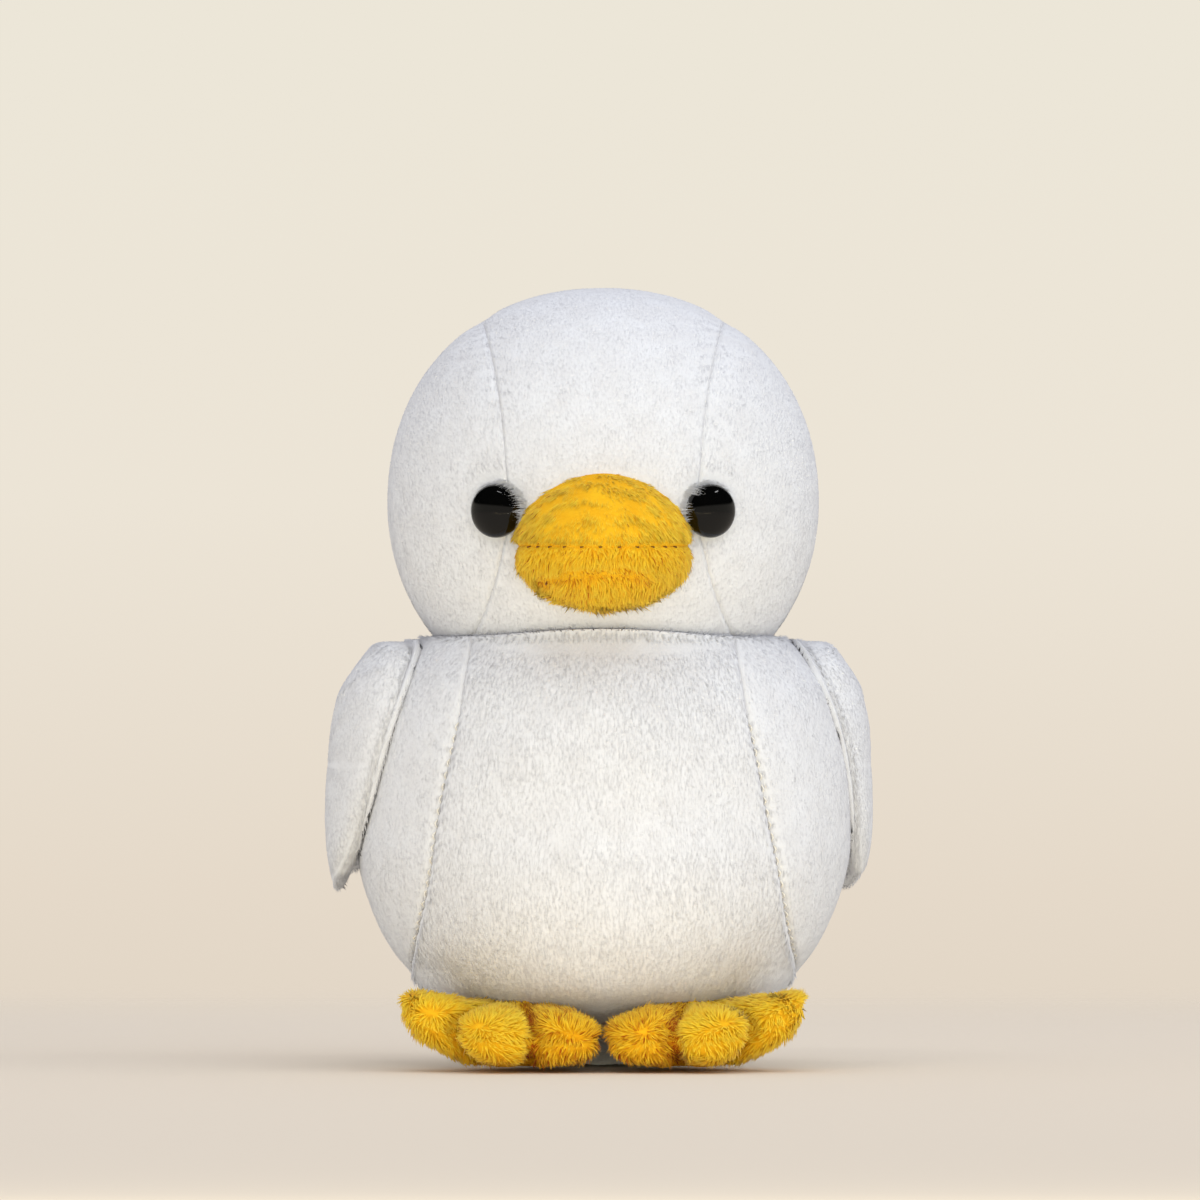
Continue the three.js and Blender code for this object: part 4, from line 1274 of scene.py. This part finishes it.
def make_floor():
    """Cream paper that fades into the background behind the duck. It lights the duck as paper in full light
    does."""
    mesh = bpy.data.meshes.new("floor")
    corners = [(-1.5, -1.5, 0), (1.5, -1.5, 0), (1.5, 0.7, 0), (-1.5, 0.7, 0)]
    mesh.from_pydata(corners, [], [(0, 1, 2, 3)])
    placed("floor", mesh)
    made, tree, place = material("cream_paper_floor")
    parts = add(tree, "ShaderNodeSeparateXYZ", {"Vector": place})
    far = mapped(tree, (parts, "Y"), 0.25, 0.62, interpolation_type="SMOOTHSTEP")
    inputs = {"Base Color": linear("#e8dac6"), "Roughness": 0.9, "Specular IOR Level": 0.1}
    paper = add(tree, "ShaderNodeBsdfPrincipled", inputs)
    bright = add(tree, "ShaderNodeBsdfDiffuse", {"Color": linear("#f9f1df")})
    ray = add(tree, "ShaderNodeLightPath")
    inputs = {0: (ray, "Is Diffuse Ray"), 1: (paper, "BSDF"), 2: (bright, "BSDF")}
    bounced = add(tree, "ShaderNodeMixShader", inputs)
    clear = add(tree, "ShaderNodeBsdfTransparent")
    both = add(tree, "ShaderNodeMixShader", {0: far, 1: (bounced, "Shader"), 2: (clear, "BSDF")})
    add(tree, "ShaderNodeOutputMaterial", {"Surface": (both, "Shader")})
    mesh.materials.append(made)


def make_world():
    """A pale background, a dark room for glossy reflections and an even cool light for everything else."""
    world = bpy.data.worlds.new("studio")
    world.use_nodes = True
    bpy.context.scene.world = world
    tree = world.node_tree
    tree.nodes.clear()
    place = add(tree, "ShaderNodeTexCoord")
    parts = add(tree, "ShaderNodeSeparateXYZ", {"Vector": (place, "Generated")})
    height = mapped(tree, (parts, "Z"), -0.035, 0.045)
    sky = ramp(tree, height, ((0.05, "#e2d6c6"), (0.16, "#e5d9c9"), (0.53, "#ece4d6"), (0.95, "#ece6d8")))
    room = ramp(tree, (parts, "Z"), ((0.16, "#c9c3b8"), (0.24, "#080808")))
    ray = add(tree, "ShaderNodeLightPath")

    def background(colour, strength=1.0):
        return add(tree, "ShaderNodeBackground", {"Color": colour, "Strength": strength}), "Background"

    inputs = {0: (ray, "Is Glossy Ray"), 1: background(linear("#f5f7ff"), 0.82), 2: background(room)}
    light = add(tree, "ShaderNodeMixShader", inputs)
    inputs = {0: (ray, "Is Camera Ray"), 1: (light, "Shader"), 2: background(sky)}
    seen = add(tree, "ShaderNodeMixShader", inputs)
    add(tree, "ShaderNodeOutputWorld", {"Surface": (seen, "Shader")})


def lamp(name, place, energy, colour="#ffffff", aim=(0, 0, 90), size=None, reflected=False):
    """A lamp that shines from its place to its aim, in millimetres. With a size in metres it is a panel,
    without one a wide soft sun. Only the strips over the eyes show in glossy reflections."""
    light = bpy.data.lights.new(name, "AREA" if size else "SUN")
    light.energy = energy
    light.color = linear(colour)[:3]
    if size:
        light.shape = "RECTANGLE"
        light.size, light.size_y = size
    else:
        light.angle = 65 * DEGREE
    lit = placed(name, light)
    lit.location = Vector(place) * MM
    lit.rotation_euler = (Vector(aim) - Vector(place)).to_track_quat("-Z", "Y").to_euler()
    lit.visible_glossy = reflected
    lit.visible_camera = False


def make_lamps():
    """Soft cool light from the right in front, a little from above, and warm light that the table throws
    back."""
    lamp("key_from_the_right", (850, -1100, 1050), 0.64, "#dfeeff")
    lamp("table_bounce", (0, -760, 6), 2.35, "#fffadc", size=(1.2, 0.01))
    lamp("overhead", (90, 60, 950), 0.5, size=(0.5, 0.3))
    lamp("warm_bounce_at_the_feet", (0, -112, 1), 0.02, "#ffd98f", (0, -112, 90), (0.2, 0.07))
    for side, place in (("left", (-215, -412, 1035)), ("right", (651, -125, 905))):
        lamp(f"strip_over_the_{side}_eye", place, 0.6, size=(0.26, 0.04), reflected=True)


def make_camera():
    """The photograph's view: level, far off with a long lens, 271.5 mm across at the duck."""
    distance, width = 3000, 271.5
    camera = bpy.data.cameras.new("camera")
    camera.sensor_width = 36
    camera.lens = camera.sensor_width * distance / width
    camera.clip_end = 20
    view = placed("camera", camera)
    view.location = (-0.7 * MM, -distance * MM, 105.2 * MM)
    view.rotation_euler = (math.pi / 2, 0, 0)
    bpy.context.scene.camera = view


def make_insides():
    """Fibre in the body, head and neck, the pellet bag, and the moulded washers behind the eyes."""
    for node, *form in (("body", 1.9, 0.5, 2.6), ("head", 1.6, 0.4, 2.2), ("neck", 0.3, 0.2, 1.4)):
        stuff_node(f"{node}_filling", "fibre", "fibre_filling", STUFFING, *form)
    stuff_node("pellet_bag", "cloth", "pellet_bag_cloth", PELLET_CLOTH, drawn_in=0.4, lump=0.35, voxel=1.4)
    for side in SIDES:
        washer = frame["nodes"][f"eye_washer_{side}"]
        washer.data.materials.clear()
        washer.data.materials.append(WHITE_PLASTIC)


make_camera()
make_floor()
make_world()
make_lamps()
make_body()
make_head()
make_eyes()
make_bill()
make_wings()
make_feet()
make_tail()
make_insides()

bpy.context.scene.view_settings.view_transform = "Standard"
